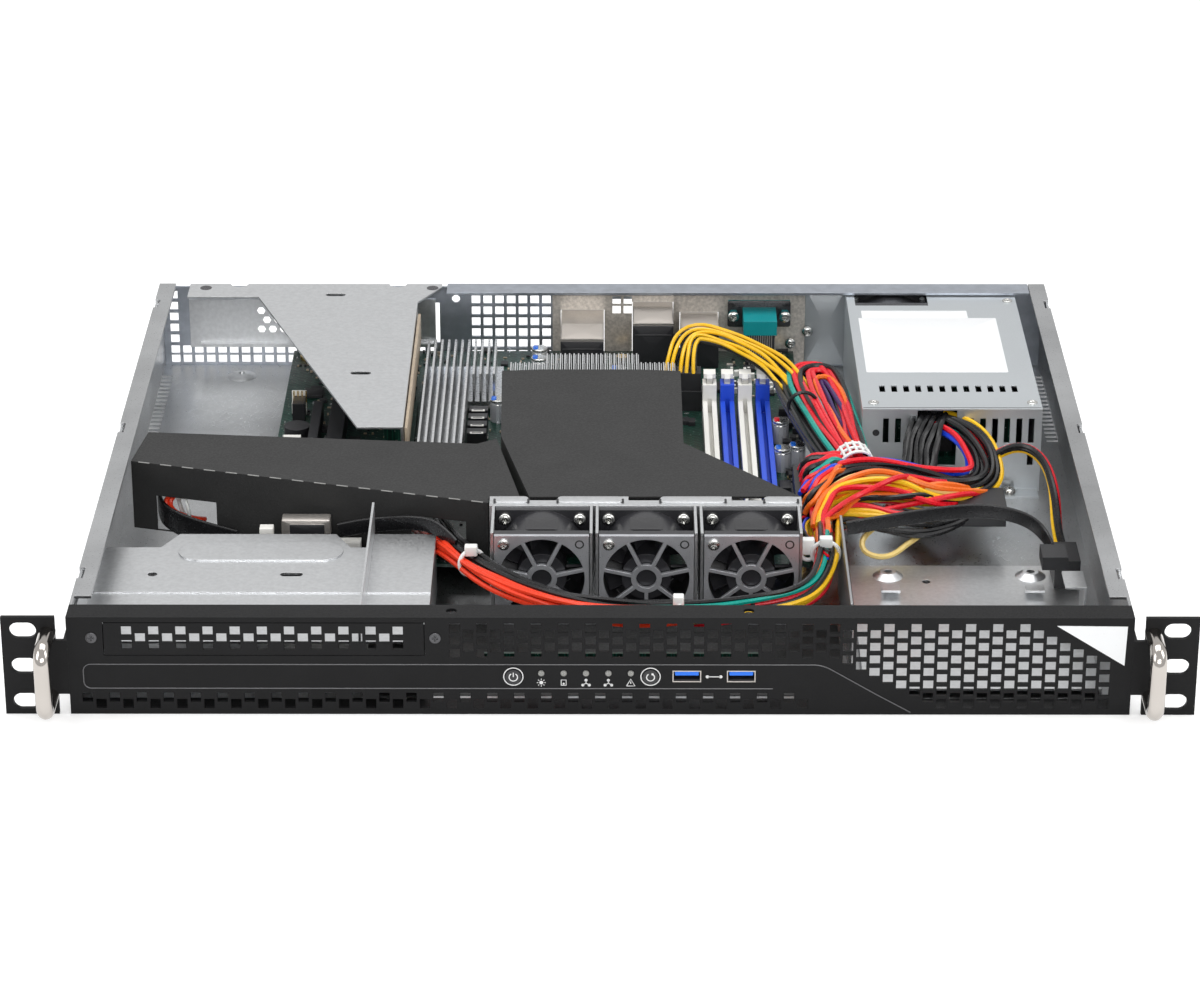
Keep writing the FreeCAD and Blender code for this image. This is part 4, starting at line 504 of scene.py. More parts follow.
def strands(shell, route, wires, radius, turns=0.0, wander=0.25, seed=1, ends=(1.0, 1.0)):
    """Wires side by side along a route in millimetres.

    Wire k keeps its place beside the line, turned by 2*pi*turns from end to end, and waves
    by a share of its radius.  At each end its place is multiplied by its share in ends.
    """
    line = route_line(route, sizes().spacing)
    _, side, top = frames_along(line)
    rng = np.random.default_rng(seed)
    along = np.linspace(0.0, 1.0, len(line))
    flare = 1 + (ends[0] - 1) * np.clip(1 - 5 * along, 0, 1) ** 2 \
        + (ends[1] - 1) * np.clip(5 * along - 4, 0, 1) ** 2
    cosine, sine = np.cos(2 * math.pi * turns * along), np.sin(2 * math.pi * turns * along)
    for word, out, over in wires:
        phase = rng.uniform(0, 2 * math.pi, 4)
        wave = wander * radius
        across = MM * flare * (out * cosine - over * sine) + wave * (
            np.sin(9 * along + phase[0]) + 0.5 * np.sin(23 * along + phase[1]))
        up = MM * flare * (out * sine + over * cosine) + wave * (
            np.sin(8 * along + phase[2]) + 0.5 * np.sin(19 * along + phase[3]))
        wire = line + across[:, None] * side + up[:, None] * top
        closed_tube(shell, wire, radius, "wire_" + word, 7)


def pad_profile(half_x, half_y, corner):
    """Rounded rectangle: each quarter turns about a corner's own centre."""
    corner = min(corner, half_x, half_y)
    quarter = np.linspace(0, math.pi / 2, 4)
    points = []
    for number, (sign_x, sign_y) in enumerate(((1, 1), (-1, 1), (-1, -1), (1, -1))):
        angle = quarter + number * math.pi / 2
        points.append(np.stack([sign_x * (half_x - corner) + corner * np.cos(angle),
                                sign_y * (half_y - corner) + corner * np.sin(angle)], -1))
    return np.concatenate(points)


def pad(shell, centre, size, finish_name, axis=2, corner=0.5, edge=0.3):
    """Block with rounded corners and edges, in millimetres.

    Rows of one rounded rectangle close to a point below and above: P(s, a) = centre +
    height(s)*axis + profile(a; half - inset(s)), where inset falls to 0 over the edge.
    """
    size = np.asarray(size, float)
    flat = [value for number, value in enumerate(size) if number != axis]
    half = size[axis] / 2
    rows = []
    for height, inset in ((-half, edge), (-half + edge * 0.3, edge * 0.3),
                          (-half + edge, 0.0), (half - edge, 0.0),
                          (half - edge * 0.3, edge * 0.3), (half, edge)):
        ring = pad_profile(flat[0] / 2 - inset, flat[1] / 2 - inset,
                           max(corner - inset, 0.05))
        rows.append(np.insert(ring, axis, height, axis=1))
    for row, place in ((rows[0], 0), (rows[-1], len(rows) + 1)):
        middle = np.zeros_like(row)
        middle[:, axis] = row[0, axis]
        rows.insert(place, middle)
    points = np.stack(rows)
    if axis == 1:
        points = points[:, ::-1]
    shell.grid(MM * (points + np.asarray(centre, float)), finish_name, True)


def screw(shell, place, axis, finish_name, radius, height):
    """Domed screw head with a cross recess, in millimetres.

    P(r, a) = place + axis*(height*(1 - r^4) - recess) + radius*r*(cos a, sin a), where the
    recess is the part of the middle that lies near one of two crossing lines.
    """
    share = np.array([1.0, 1.0, 0.94, 0.8, 0.56, 0.5, 0.3, 0.22, 0.0])
    angle = np.arange(24) * 2 * math.pi / 24
    x, y = share[:, None] * np.cos(angle), share[:, None] * np.sin(angle)
    near = np.minimum(abs(x), abs(y)) < 0.13
    recess = 0.55 * height * (near & (share[:, None] < 0.54))
    level = height * (1 - 0.45 * share[:, None] ** 4) - recess
    level[0] = 0.0
    level[-1] = 0.45 * height
    axis = np.asarray(axis, float)
    first = np.roll(axis, 1)
    second = np.cross(axis, first)
    points = (np.asarray(place, float) + level[..., None] * axis
              + radius * (x[..., None] * first + y[..., None] * second))
    shell.grid(MM * points, finish_name, True)


# --- Operators -------------------------------------------------------------------------

class ServerOperator:
    """Common settings and run of the operators, each of which builds its own pieces."""

    bl_options = {"REGISTER", "UNDO"}

    def execute(self, context):
        self.build()
        return {"FINISHED"}


def assign(finish_name, *nodes):
    """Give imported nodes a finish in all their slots."""
    for name in nodes:
        slots = NODES[name].material_slots
        if not slots:
            NODES[name].data.materials.append(material(finish_name))
        for number in range(len(slots)):
            slots[number].material = material(finish_name)


def light_world(tree, diffuse, mirrored, seen):
    """White surroundings: full to the camera, less in reflections, least as plain light."""
    back = tree.nodes["Background"]
    back.inputs["Color"].default_value = (1.0, 1.0, 1.0, 1.0)
    path = tree.nodes.new("ShaderNodeLightPath")
    total = tree.nodes.new("ShaderNodeMath")
    total.operation = "MULTIPLY_ADD"
    tree.links.new(path.outputs["Is Glossy Ray"], total.inputs[0])
    total.inputs[1].default_value = mirrored
    tree.links.new(path.outputs["Is Camera Ray"], total.inputs[2])
    spread = tree.nodes.new("ShaderNodeMapRange")
    spread.inputs["To Min"].default_value = diffuse
    spread.inputs["To Max"].default_value = seen
    tree.links.new(total.outputs[0], spread.inputs["Value"])
    tree.links.new(spread.outputs["Result"], back.inputs["Strength"])


FLOOR_HALF, FLOOR_LEVEL = 6.0, -0.0002
WORLD_LIGHT = {"diffuse": 0.46, "mirrored": 0.55, "seen": 1.0}
LAMPS = (("lamp_top", (0.0, 0.35, 1.5), (1.6, 0.9), 15.0),
         ("lamp_left", (-1.3, -0.5, 0.9), (0.7, 0.9), 7.0),
         ("lamp_right", (1.3, -0.2, 1.0), (0.6, 0.9), 6.0),
         ("lamp_front", (0.2, -1.6, 0.9), (1.4, 0.5), 13.0))
LAMP_TARGET = Vector((0.0, 0.15, 0.0))
LENS, SENSOR_WIDTH, CAMERA_REACH = 119.68, 36.0, 20.0
CAMERA_PLACE, CAMERA_TILT, CAMERA_TURN = (0.00327, -1.4406, 0.7477), 0.4251, 0.0023


class SERVER_OT_stage(ServerOperator, bpy.types.Operator):
    """Floor, lamps and camera"""

    bl_idname = "server.stage"
    bl_label = "Stage"

    def build(self):
        scene = bpy.context.scene
        scene.view_settings.view_transform = "Standard"
        mesh = bpy.data.meshes.new("studio_floor")
        mesh.from_pydata([(x * FLOOR_HALF, y * FLOOR_HALF, FLOOR_LEVEL)
                          for x, y in ((-1, -1), (1, -1), (1, 1), (-1, 1))], [],
                         [(0, 1, 2, 3)])
        mesh.materials.append(material("floor"))
        floor = placed("studio_floor", mesh)
        world = bpy.data.worlds.new("studio")
        world.use_nodes = True
        light_world(world.node_tree, **WORLD_LIGHT)
        scene.world = world
        for name, place, size, power in LAMPS:
            data = bpy.data.lights.new(name, "AREA")
            data.shape = "RECTANGLE"
            data.size, data.size_y = size
            data.energy = power
            lamp = placed(name, data)
            lamp.location = place
            aim = LAMP_TARGET - Vector(place)
            lamp.rotation_euler = aim.to_track_quat("-Z", "Y").to_euler()
        data = bpy.data.cameras.new("camera")
        data.lens = LENS
        data.sensor_width = SENSOR_WIDTH
        data.clip_end = CAMERA_REACH
        camera = placed("camera", data)
        camera.location = CAMERA_PLACE
        camera.rotation_euler = (math.pi / 2 - CAMERA_TILT, 0.0, CAMERA_TURN)
        scene.camera = camera


class SERVER_OT_sheet_finishes(ServerOperator, bpy.types.Operator):
    """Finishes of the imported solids"""

    bl_idname = "server.node_finishes"
    bl_label = "Finishes of the solids"

    def build(self):
        # The chassis tray and drive bay side take the darker copy of the zinc sheet, which is
        # painted shade.
        assign("zinc_painted_shade", "chassis_tray", "drive_bay_side")
        assign("rear", "rear_panel")
        assign("zinc", "slim_drive_tray", "hard_drive_tray", "fan_bracket",
               "riser_bracket", "slot_cover")
        assign("supply", "psu_case")
        assign("paint", "front_bezel", "drive_bay_cover", "rack_ear_left", "rack_ear_right")
        assign("nickel", "pull_handle_left", "pull_handle_right")
        assign("board", "motherboard", "riser_card", "front_board", "psu_circuit")
        assign("moulding", "power_button", "reset_button", "board_connectors_black",
               "psu_inlet", "sata_plug", "drive_power_plug")
        assign("fan_black", "fan_frames", "fan_rotor_1", "fan_rotor_2", "fan_rotor_3",
               "psu_fan_frame", "psu_fan_rotor")
        assign("guard", "fan_guards")
        assign("lamp", "status_lights")
        assign("tin", "usb_ports", "io_ports")
        assign("shield", "io_shield")
        assign("brass", "standoffs")
        assign("ivory", "memory_sockets_white", "board_connectors_white",
               *[name for name in NODES if name.startswith("memory_latch")])
        assign("blue", "memory_sockets_blue")
        assign("fins", "cpu_heatsink", "chipset_heatsink")
        assign("can", "board_capacitors")
        assign("duct", "side_air_duct", "cpu_air_duct")
        assign("teal", "serial_port")


FRONT_ROUTE = (
    (110, 176, 10), (104, 158, 14), (99, 136, 24), (97, 108, 30), (96, 80, 28), (86, 56, 26),
    (64, 42, 27), (30, 36, 28), (0, 38, 28), (-28, 50, 29), (-48, 72, 29), (-60, 98, 26),
    (-68, 122, 21), (-72, 140, 16), (-76, 156, 13))
FIRST_LAY, SECOND_LAY = slice(9), slice(6, None)
CPU_ROUTE = ((37, 297, 27), (37.5, 299, 33), (40, 310, 38.5), (46, 315, 40.3),
             (58, 308, 40.2), (70, 297, 38.8), (81, 284, 36.5), (89, 270, 33), (94, 258, 29))
BAY_ROUTE = ((-113, 128, 23), (-104, 126.5, 26), (-90, 123.5, 28.5),
             (-78, 119, 31), (-69, 113, 31), (-62, 104, 27))
SATA_ROUTE = ((106, 122, 27), (124, 124, 29.5), (146, 129, 31), (168, 133, 31),
              (186, 129, 28), (194, 121, 21), (194, 112.5, 21))
DRIVE_ROUTE = ((167, 171.7, 19), (167, 181, 19), (173, 193, 29), (187, 197, 34),
               (197, 187, 32), (200.5, 168, 25), (200.5, 150, 12), (200.5, 127.7, 12))


def loop_route(neck, top, half_width, half_neck):
    """Up one side of a long loop and down the other, in millimetres.

    P(t) = neck + t*(top - neck) -+ w(t)*side, with w(t) = half_neck +
    (half_width - half_neck)*sin(pi*t/1.7) until t = 0.85, then across at the top.
    """
    neck, top = np.array(neck, float), np.array(top, float)
    side = np.cross(top - neck, (0.0, 0.0, 1.0))
    side /= np.linalg.norm(side)
    shares = np.array([-0.04, 0.2, 0.45, 0.68, 0.85])[:, None]
    widths = half_neck + (half_width - half_neck) * np.sin(math.pi * np.clip(shares, 0, 1) / 1.7)
    left = neck + shares * (top - neck) - widths * side
    right = neck + shares * (top - neck) + widths * side
    crown = np.stack([top - 0.8 * half_width * side, top + 0.8 * half_width * side])
    return np.concatenate([left, crown, right[::-1]]).tolist()


def hank(shell):
    """Spare length of the loom, folded into three loops that lie over each other."""
    power = sizes().power_wire
    strands(shell, loop_route((109, 187, 28), (93, 287, 31.5), 10.0, 5.0),
            flat_lay("black " * 8, 2.7, 2), power, 0.0, 0.3, 21)
    strands(shell, loop_route((111, 187, 31.5), (97, 285, 35), 9.0, 3.8),
            flat_lay("black red black green red red", 2.7, 2), power,
            0.12, 0.5, 22)
    strands(shell, loop_route((112, 190, 33.5), (100, 279, 36.5), 6.5, 2.0),
            flat_lay("black red red", 2.7, 1), power, 0.0, 0.5, 24)
    strands(shell, loop_route((114, 200, 33), (102, 268, 36.5), 3.4, 1.0),
            flat_lay("yellow purple orange", 2.3, 2), 0.9 * power, 0.2, 0.5, 23)
    wrap(shell, (112.6, 183.5, 31.3), (-10.5, 55, 2), 8.2, 9.0)
    tie(shell, (92.3, 242, 33.6), (-7, 55, 2), 6.6, "wire_black", (2.4, 2.4, 1.2))


def square_to(direction):
    """A direction as a unit vector, with the level side and the top square to it."""
    direction = np.asarray(direction, float) / np.linalg.norm(direction)
    side = np.cross(direction, (0.0, 0.0, 1.0))
    side /= np.linalg.norm(side)
    return direction, side, np.cross(side, direction)


def wrap(shell, centre, direction, radius, wide, bars=16):
    """Pierced nylon band: three rings about a direction and short bars between them."""
    direction, side, top = square_to(direction)
    for share in (-0.5, 0.0, 0.5):
        low, high = share * wide - 0.9, share * wide + 0.9
        shell.lathe([(low, radius), (high, radius), (high, radius - 0.7),
                     (low, radius - 0.7), (low, radius)], centre, direction, "nylon", 40)
    for angle in np.linspace(0, 2 * math.pi, bars, endpoint=False):
        foot = np.asarray(centre, float) + (radius - 0.4) * (
            math.sin(angle) * side + math.cos(angle) * top)
        closed_tube(shell, MM * np.stack([foot - 0.5 * wide * direction,
                                          foot + 0.5 * wide * direction]), 0.0007,
                    "nylon", 8)


def board_plug_fan(shell):
    """Wires that part from the hank's neck and drop side by side into the long plug."""
    words = "red black red red black green red black blue red orange black orange"
    for number, word in enumerate(words.split()):
        back = 184 - 3.9 * number
        route = ((117, 178, 27), (112, 180, 31.5), (103, 0.5 * (182 + back), 36.5),
                 (92.5, back, 34.5), (89.2, back, 29), (89.2, back, 26.5))
        strands(shell, route, [(word, 0, 0)], sizes().power_wire, 0.0, 0.5, 40 + number)


def supply_curl(shell):
    """Wires that leave the supply, curl to the right and spread over the floor."""
    power = sizes().power_wire
    strands(shell, ((150, 225, 35), (148, 215, 37), (144, 206, 32), (142, 196, 22),
                    (140, 184, 14)),
            flat_lay("black " * 12, 2.7, 2), power, 0.0, 0.35, 51)
    strands(shell, ((152, 226, 34), (157, 216, 36.5), (166, 206, 34.5), (171, 192, 30),
                    (171, 178, 25), (160, 170, 24), (142, 170, 27), (124, 172, 31),
                    (108, 170, 31), (97, 160, 30), (92, 150, 27)),
            flat_lay("black purple black green black blue yellow black red black black red "
                     "yellow black black black", 2.7, 3), power, 0.12, 0.6, 52,
            (0.8, 0.9))
    strands(shell, ((170, 182, 19), (162, 166, 22), (146, 161, 25), (130, 162, 28),
                    (114, 161, 29), (102, 152, 28), (95, 138, 27), (94, 118, 28)),
            flat_lay("red yellow orange yellow yellow red yellow yellow orange yellow "
                     "black yellow orange cream red yellow black yellow", 2.8, 3), power,
            -0.2, 1.0, 53,
            (0.8, 0.5))
    strands(shell, ((168, 176, 22), (156, 162, 26), (142, 156, 28), (128, 152, 29),
                    (112, 146, 29), (101, 136, 28), (95, 122, 27), (95, 104, 28)),
            flat_lay("red black orange red", 3.6, 1), power, 0.4, 1.6, 56,
            (0.9, 0.5))
    strands(shell, ((171, 176, 15), (160, 156, 17), (146, 147, 18), (130, 145, 20),
                    (113, 146, 23), (101, 138, 25), (95, 124, 25), (95, 106, 27)),
            flat_lay("black black yellow black black black yellow red", 2.8, 2), power,
            0.3, 0.9, 54, (0.8, 0.5))
    strands(shell, ((150, 156, 17), (136, 141, 11), (124, 133, 8), (114, 134.5, 9),
                    (114, 142, 14), (124, 150, 19)), [("cream", 0, 0)], power, 0.0, 0.3, 55)
    strands(shell, ((128, 180, 12), (138, 172, 10), (146, 164, 15), (157, 162, 19)),
            flat_lay("yellow black red black", 2.6, 1), power, 0.0, 0.2, 3)


def tie(shell, centre, direction, radius, finish_name="nylon", head=(5.5, 4.0, 4.5)):
    """Cable tie: ring of a radius about a direction, with its head on top, in millimetres."""
    _, side, top = square_to(direction)
    angle = np.linspace(0, 2 * math.pi, 37)[:, None]
    ring = np.asarray(centre, float) + radius * (np.sin(angle) * side + np.cos(angle) * top)
    shell.grid(tube_grid(MM * ring, 0.0009, 8), finish_name, True)
    pad(shell, np.asarray(centre) + radius * top, head, finish_name, 2, 0.8, 0.5)


class SERVER_OT_looms(ServerOperator, bpy.types.Operator):
    """Wires of the power supply's loom, the front loom and the processor's cable"""

    bl_idname = "server.looms"
    bl_label = "Wire looms"

    def build(self):
        power = sizes().power_wire
        shell = Shell()
        hank(shell)
        board_plug_fan(shell)
        supply_curl(shell)
        shell.make("main_loom", replaces=("main_harness",))

        shell = Shell()
        strands(shell, FRONT_ROUTE[FIRST_LAY],
                flat_lay("red orange black red yellow black red orange yellow black green "
                         "black", 2.4, 3),
                0.9 * power, 0.1, 0.6, 5, (1.0, 0.15))
        strands(shell, FRONT_ROUTE[SECOND_LAY],
                flat_lay("scarlet black black black black scarlet scarlet black black "
                         "black scarlet scarlet black black black", 2.4, 3), 0.9 * power,
                0.0, 0.7, 15,
                (0.15, 1.3))
        strands(shell, ((90, 138, 25), (85.5, 126, 29), (89, 108, 28), (92, 95, 30),
                        (96, 84, 31)),
                flat_lay("yellow blue red black", 1.4, 1), sizes().signal_wire,
                0.3, 0.5, 16)
        tie(shell, (-54.5, 86, 27.5), (-12, 26, -3), 5.6)
        tie(shell, (95.5, 92, 29), (-1, -28, -2), 5.8)
        tie(shell, (88, 94, 28.5), (-1, -20, 4), 3.0, head=(5.5, 4.0, 7.0))
        tie(shell, (32, 36.3, 28), (-34, -6, 1), 5.2, head=(4.5, 4.5, 6.0))
        shell.make("front_loom", replaces=("front_harness",))

        shell = Shell()
        strands(shell, CPU_ROUTE,
                flat_lay("black " * 5 + "yellow " * 5, 2.45), 0.7 * power,
                0.0, 0.55, 6, (1.35, 1.0))
        shell.make("processor_loom", replaces=("cpu_power_cable",))

        shell = Shell()
        flat_cord(shell, BAY_ROUTE, 0.8, 3.4, "wire_black")
        pad(shell, (-127.5, 129, 24.5), (21, 7, 9), "tin", 1, 0.6, 0.4)
        pad(shell, (-127, 125.3, 24.5), (15, 1.0, 5), "moulding", 1, 0.5, 0.3)
        pad(shell, (-145, 131, 20), (6, 5, 7), "ivory", 2, 0.5, 0.3)
        shell.make("bay_loom", replaces=("bay_cable",))


CORD_STEP = 0.001


def flat_cord(shell, route, half_thin, half_wide, finish_name):
    """Rounded strip carried on edge along a route in millimetres; returns its line.

    P(s, a) = line(s) + u(a)*flat(s) + v(a)*tall(s), flat being level and square to the line.
    """
    line = route_line(route, CORD_STEP)
    tangent, _, _ = frames_along(line)
    flat = np.cross(tangent, (0.0, 0.0, 1.0))
    flat /= np.linalg.norm(flat, axis=1, keepdims=True)
    tall = np.cross(flat, tangent)
    profile = MM * pad_profile(half_thin, half_wide, 0.9 * half_thin)
    points = line[:, None] + profile[:, 0, None] * flat[:, None] \
        + profile[:, 1, None] * tall[:, None]
    points = np.concatenate([np.repeat(line[:1, None], points.shape[1], 1), points,
                             np.repeat(line[-1:, None], points.shape[1], 1)])
    shell.grid(points, finish_name, True)
    return line


class SERVER_OT_drive_cords(ServerOperator, bpy.types.Operator):
    """Flat data cord and the drive's power cord"""

    bl_idname = "server.drive_cords"
    bl_label = "Drive cords"

    def build(self):
        shell = Shell()
        line = flat_cord(shell, SATA_ROUTE, 0.75, 3.3, "wire_black")
        piece = shell.make("data_cord", replaces=("sata_cable",))

        shell = Shell()
        strands(shell, DRIVE_ROUTE,
                round_lay("black red yellow black", 1.9),
                0.9 * sizes().power_wire, 0.3, 0.15, 8)
        line = route_line(DRIVE_ROUTE, CORD_STEP)
        piece = shell.make("drive_cord", replaces=("drive_power_cable",))


FAN_PLACES = (-24.9, 19.4, 63.7)
FAN_MIDDLE = 21.8
FAN_SCREWS = 16.0


class SERVER_OT_fan_hardware(ServerOperator, bpy.types.Operator):
    """Screws of the fans and guards, and the tabs of their bracket"""

    bl_idname = "server.fan_hardware"
    bl_label = "Fan hardware"

    def build(self):
        shell = Shell()
        for across in FAN_PLACES:
            for side in (-1, 1):
                x = across + side * FAN_SCREWS
                for up in (-1, 1):
                    screw(shell, (x, 108.2, FAN_MIDDLE + up * FAN_SCREWS), (0, -1, 0),
                          "screw", 2.7, 2.2)
            x, z = across - FAN_SCREWS, FAN_MIDDLE + FAN_SCREWS
            screw(shell, (x, 81.9, z), (0, -1, 0), "screw", 2.5, 1.0)
            shell.lathe([(-0.02, 0), (-0.02, 1.3), (0.06, 1.5), (0.06, 1.9), (-0.02, 2.0)],
                        (across + FAN_SCREWS, 82.0, z), (0, -1, 0), "chip")
            pad(shell, (across, 94.5, 41.75), (14, 12, 0.25), "chip", 2, 0.6, 0.1)
        for left, right in ((-45.5, -31.0), (-18.5, 9.5), (25.5, 53.5), (70.0, 84.5)):
            pad(shell, (0.5 * (left + right), 117.6, 42.45), (right - left, 6.4, 0.5),
                "zinc", 2, 2.2, 0.2)
            for edge in (left, right):
                pad(shell, (edge, 116.2, 42.75), (1.0, 3.4, 0.25), "chip", 2, 0.45, 0.1)
        # Dark sheet laid over the floor in front of the fans, in the duct film's finish; it
        # darkens the floor and its holes there.
        pad(shell, (1.5, 47, 1.35), (198, 66, 0.2), "duct", 2, 1.0, 0.08)
        shell.make("fan_hardware")


class SERVER_OT_supply_details(ServerOperator, bpy.types.Operator):
    """Blank label, screws and seams of the power supply"""

    bl_idname = "server.supply_details"
    bl_label = "Power supply details"

    def build(self):
        shell = Shell()
        pad(shell, (155.2, 295.8, 41.78), (65.5, 67.5, 0.14), "label", 2, 0.6, 0.05)
        pad(shell, (149.5, 333.8, 41.77), (50.5, 10.5, 0.12), "label", 2, 0.6, 0.05)
        pad(shell, (158.8, 220.4, 41.74), (80.6, 0.35, 0.12), "chip", 2, 0.1, 0.04)
        for x, y in ((123.5, 226), (195.5, 226), (195.5, 352)):
            screw(shell, (x, y, 41.7), (0, 0, 1), "screw", 2.4, 0.9)
        screw(shell, (185.5, 214.5, 2.4), (0, 0, 1), "screw", 3.0, 2.4)
        screw(shell, (124.5, 219, 30), (0, -1, 0), "chip", 1.6, 0.3)
        pad(shell, (152, 232, 28), (17, 3, 25), "chip", 1, 1.0, 0.5)
        shell.make("supply_details")


PRINT_FACE, BUTTON_FACE = -0.06, -0.66
FINE_LINE = 0.00024


def ink(shell, points, width, y=PRINT_FACE):
    """Flat printed line of a width through (x, z) points on the bezel's face."""
    line = np.asarray(points, float)
    run = np.gradient(line, axis=0)
    run /= np.linalg.norm(run, axis=1, keepdims=True)
    across = np.stack([-run[:, 1], run[:, 0]], -1) * width / 2
    sides = np.stack([line - across, line + across], 1)
    points = np.insert(sides, 1, y, axis=2)
    shell.grid(MM * points, "print")


def arc(centre, radius, start, end, count=28):
    """Points on an arc between two angles in degrees."""
    angle = np.radians(np.linspace(start, end, count))
    return np.stack([centre[0] + radius * np.cos(angle), centre[1] + radius * np.sin(angle)],
                    -1)


def disc(shell, centre, radius, y=PRINT_FACE):
    """Printed spot: P(r, a) = centre + r*(cos a, sin a)."""
    shares = np.array([0.01, 0.5, 1.0])[:, None, None]
    ring = arc((0, 0), radius, 0, 360, 25)
    points = np.asarray(centre) + shares * ring
    shell.grid(MM * np.insert(points, 1, y, axis=2), "print")


class SERVER_OT_front_details(ServerOperator, bpy.types.Operator):
    """Control panel outline, printed symbols, USB tongues, badge and screws"""

    bl_idname = "server.front_details"
    bl_label = "Front details"

    def build(self):
        shell = Shell()
        top, low = 22.5, 11.7
        for points in (arc((-206, low + 3), 3, 270, 180, 8).tolist()
                       + arc((-206, top - 3), 3, 180, 90, 8).tolist()
                       + arc((86, top - 14), 14, 90, 58, 8).tolist()
                       + [(112, 9.1), (126, 1.0)],
                       [(-206, low), (-100, low), (0, low), (70, low)]):
            # Thin tubes along the film's edges: a real raised ridge, coloured light grey as a
            # painted highlight.
            painted_highlight_ridge = np.insert(np.asarray(points, float), 1, 0.0, axis=1)
            closed_tube(shell, MM * painted_highlight_ridge, FINE_LINE, "painted_highlight_ridge", 6)
        for x, radius, start, end in ((-35.1, 1.7, -240, 60), (20.4, 1.6, 120, 420)):
            ink(shell, arc((x, 17.1), 3.9, 0, 360), 0.45)
            ink(shell, arc((x, 17.1), radius, start, end), 0.42, BUTTON_FACE)
        ink(shell, [(-35.1, 17.2), (-35.1, 19.2)], 0.42, BUTTON_FACE)
        disc(shell, (21.2, 18.5), 0.5, BUTTON_FACE - 0.01)
        marks = (-23.8, -14.75, -5.7, 3.35, 12.4)
        disc(shell, (marks[0], 14.4), 0.8)
        for step in range(8):
            spoke = np.array([math.cos(step * math.pi / 4), math.sin(step * math.pi / 4)])
            ink(shell, [np.array((marks[0], 14.4)) + 1.2 * spoke,
                        np.array((marks[0], 14.4)) + 1.8 * spoke], 0.3)
        ink(shell, [(marks[1] - 1, 13.2), (marks[1] - 1, 15.6), (marks[1] + 1, 15.6),
                    (marks[1] + 1, 13.2), (marks[1] - 1, 13.2)], 0.35)
        disc(shell, (marks[1], 13.9), 0.45)
        for x in marks[2:4]:
            for dx, z in ((0, 15.5), (-1.3, 13.3), (1.3, 13.3)):
                disc(shell, (x + dx, z), 0.62)
                ink(shell, [(x + dx, z), (x, 14.2)], 0.35)
        ink(shell, [(marks[4] - 1.7, 12.9), (marks[4], 16.0), (marks[4] + 1.7, 12.9),
                    (marks[4] - 1.7, 12.9)], 0.38)
        ink(shell, [(marks[4], 14.9), (marks[4], 13.9)], 0.4)
        ink(shell, [(43.6, 17.1), (48.6, 17.1)], 0.4)
        for x in (43.4, 48.8):
            disc(shell, (x, 17.1), 0.7)
        for x in marks:
            pad(shell, (x, -0.2, 18.6), (1.9, 0.3, 1.9), "lamp", 1, 0.9, 0.1)
        for x in (35.1, 57.1):
            pad(shell, (x, 3.0, 18.35), (9.6, 5.6, 1.7), "usb_blue", 1, 0.3, 0.15)
            pad(shell, (x, 6.6, 17.1), (10.6, 0.4, 4.2), "moulding", 1, 0.2, 0.1)
            pad(shell, (x, 3.6, 15.4), (10.4, 6.0, 0.3), "moulding", 1, 0.1, 0.05)
        for x in (-205.1, -66.5):
            screw(shell, (x, 0.1, 34.4), (0, -1, 0), "screw_black", 2.3, 0.7)
        for x in (-60.0, 60.0):
            screw(shell, (x, 6.5, 41.6), (0, 0, 1), "screw_black", 2.1, 0.9)
        corners = MM * np.array([(183.8, -0.35, 40.2), (212.2, -0.35, 39.9),
                                 (211.95, -0.35, 31.15), (211.7, -0.35, 22.4)])
        shell.add(np.concatenate([corners, corners + (0, 0.00035, 0)]),
                  [(3, 2, 1, 0), (0, 1, 5, 4), (1, 2, 6, 5), (2, 3, 7, 6), (3, 0, 4, 7)],
                  "badge")
        shell.make("front_details", smooth=30.0)


BOARD_TOP = 9.0
BOARD_LOW, BOARD_HIGH = (-149, 125), (92, 366)
SOCKETS_MIDDLE, SOCKETS_REACH = (63, 218), (20, 92)


def scatter(shell, seed, count, low, high, size, finish_name):
    """Small parts spread over the board: boxes of about a size at random places, in mm.

    The memory sockets and the sweep of their latches stay clear.
    """
    rng = np.random.default_rng(seed)
    place = np.stack([rng.uniform(low[0], high[0], count),
                      rng.uniform(low[1], high[1], count), np.full(count, BOARD_TOP)], -1)
    extent = np.array(size) * rng.uniform(0.7, 1.3, (count, 3))
    turned = rng.random(count) < 0.5
    extent[turned] = extent[turned][:, [1, 0, 2]]
    beside = (np.abs(place[:, :2] - SOCKETS_MIDDLE) > SOCKETS_REACH).any(axis=1)
    place, extent = place[beside], extent[beside]
    shell.boxes(MM * place, MM * (place + extent), finish_name)


SCATTERED = (
    (1, 520, BOARD_LOW, BOARD_HIGH, (1.6, 0.9, 0.6), "ceramic"),
    (2, 420, BOARD_LOW, BOARD_HIGH, (1.8, 1.1, 0.7), "chip"),
    (3, 520, BOARD_LOW, BOARD_HIGH, (1.4, 0.5, 0.3), "solder"),
    (4, 120, BOARD_LOW, BOARD_HIGH, (4.0, 4.4, 1.6), "chip"),
    (5, 90, BOARD_LOW, BOARD_HIGH, (2.4, 2.0, 1.0), "tin"),
    (6, 60, (79.5, 200), (92, 290), (3.2, 3.4, 3.0), "chip"),
    (7, 70, (62, 300), (92, 345), (1.6, 1.6, 2.2), "ivory"))
FIN_PITCH, FIN_SHEET, FIN_FOOT, FIN_HEIGHT = 2.1 / 2, 0.35, 17, 18.6
CAN_PLACES = ((83.1, 257), (82.7, 225), (89.5, 228.6), (-30, 345), (-30, 333),
              (-48.5, 282), (-126, 330), (8, 320), (-101, 200))


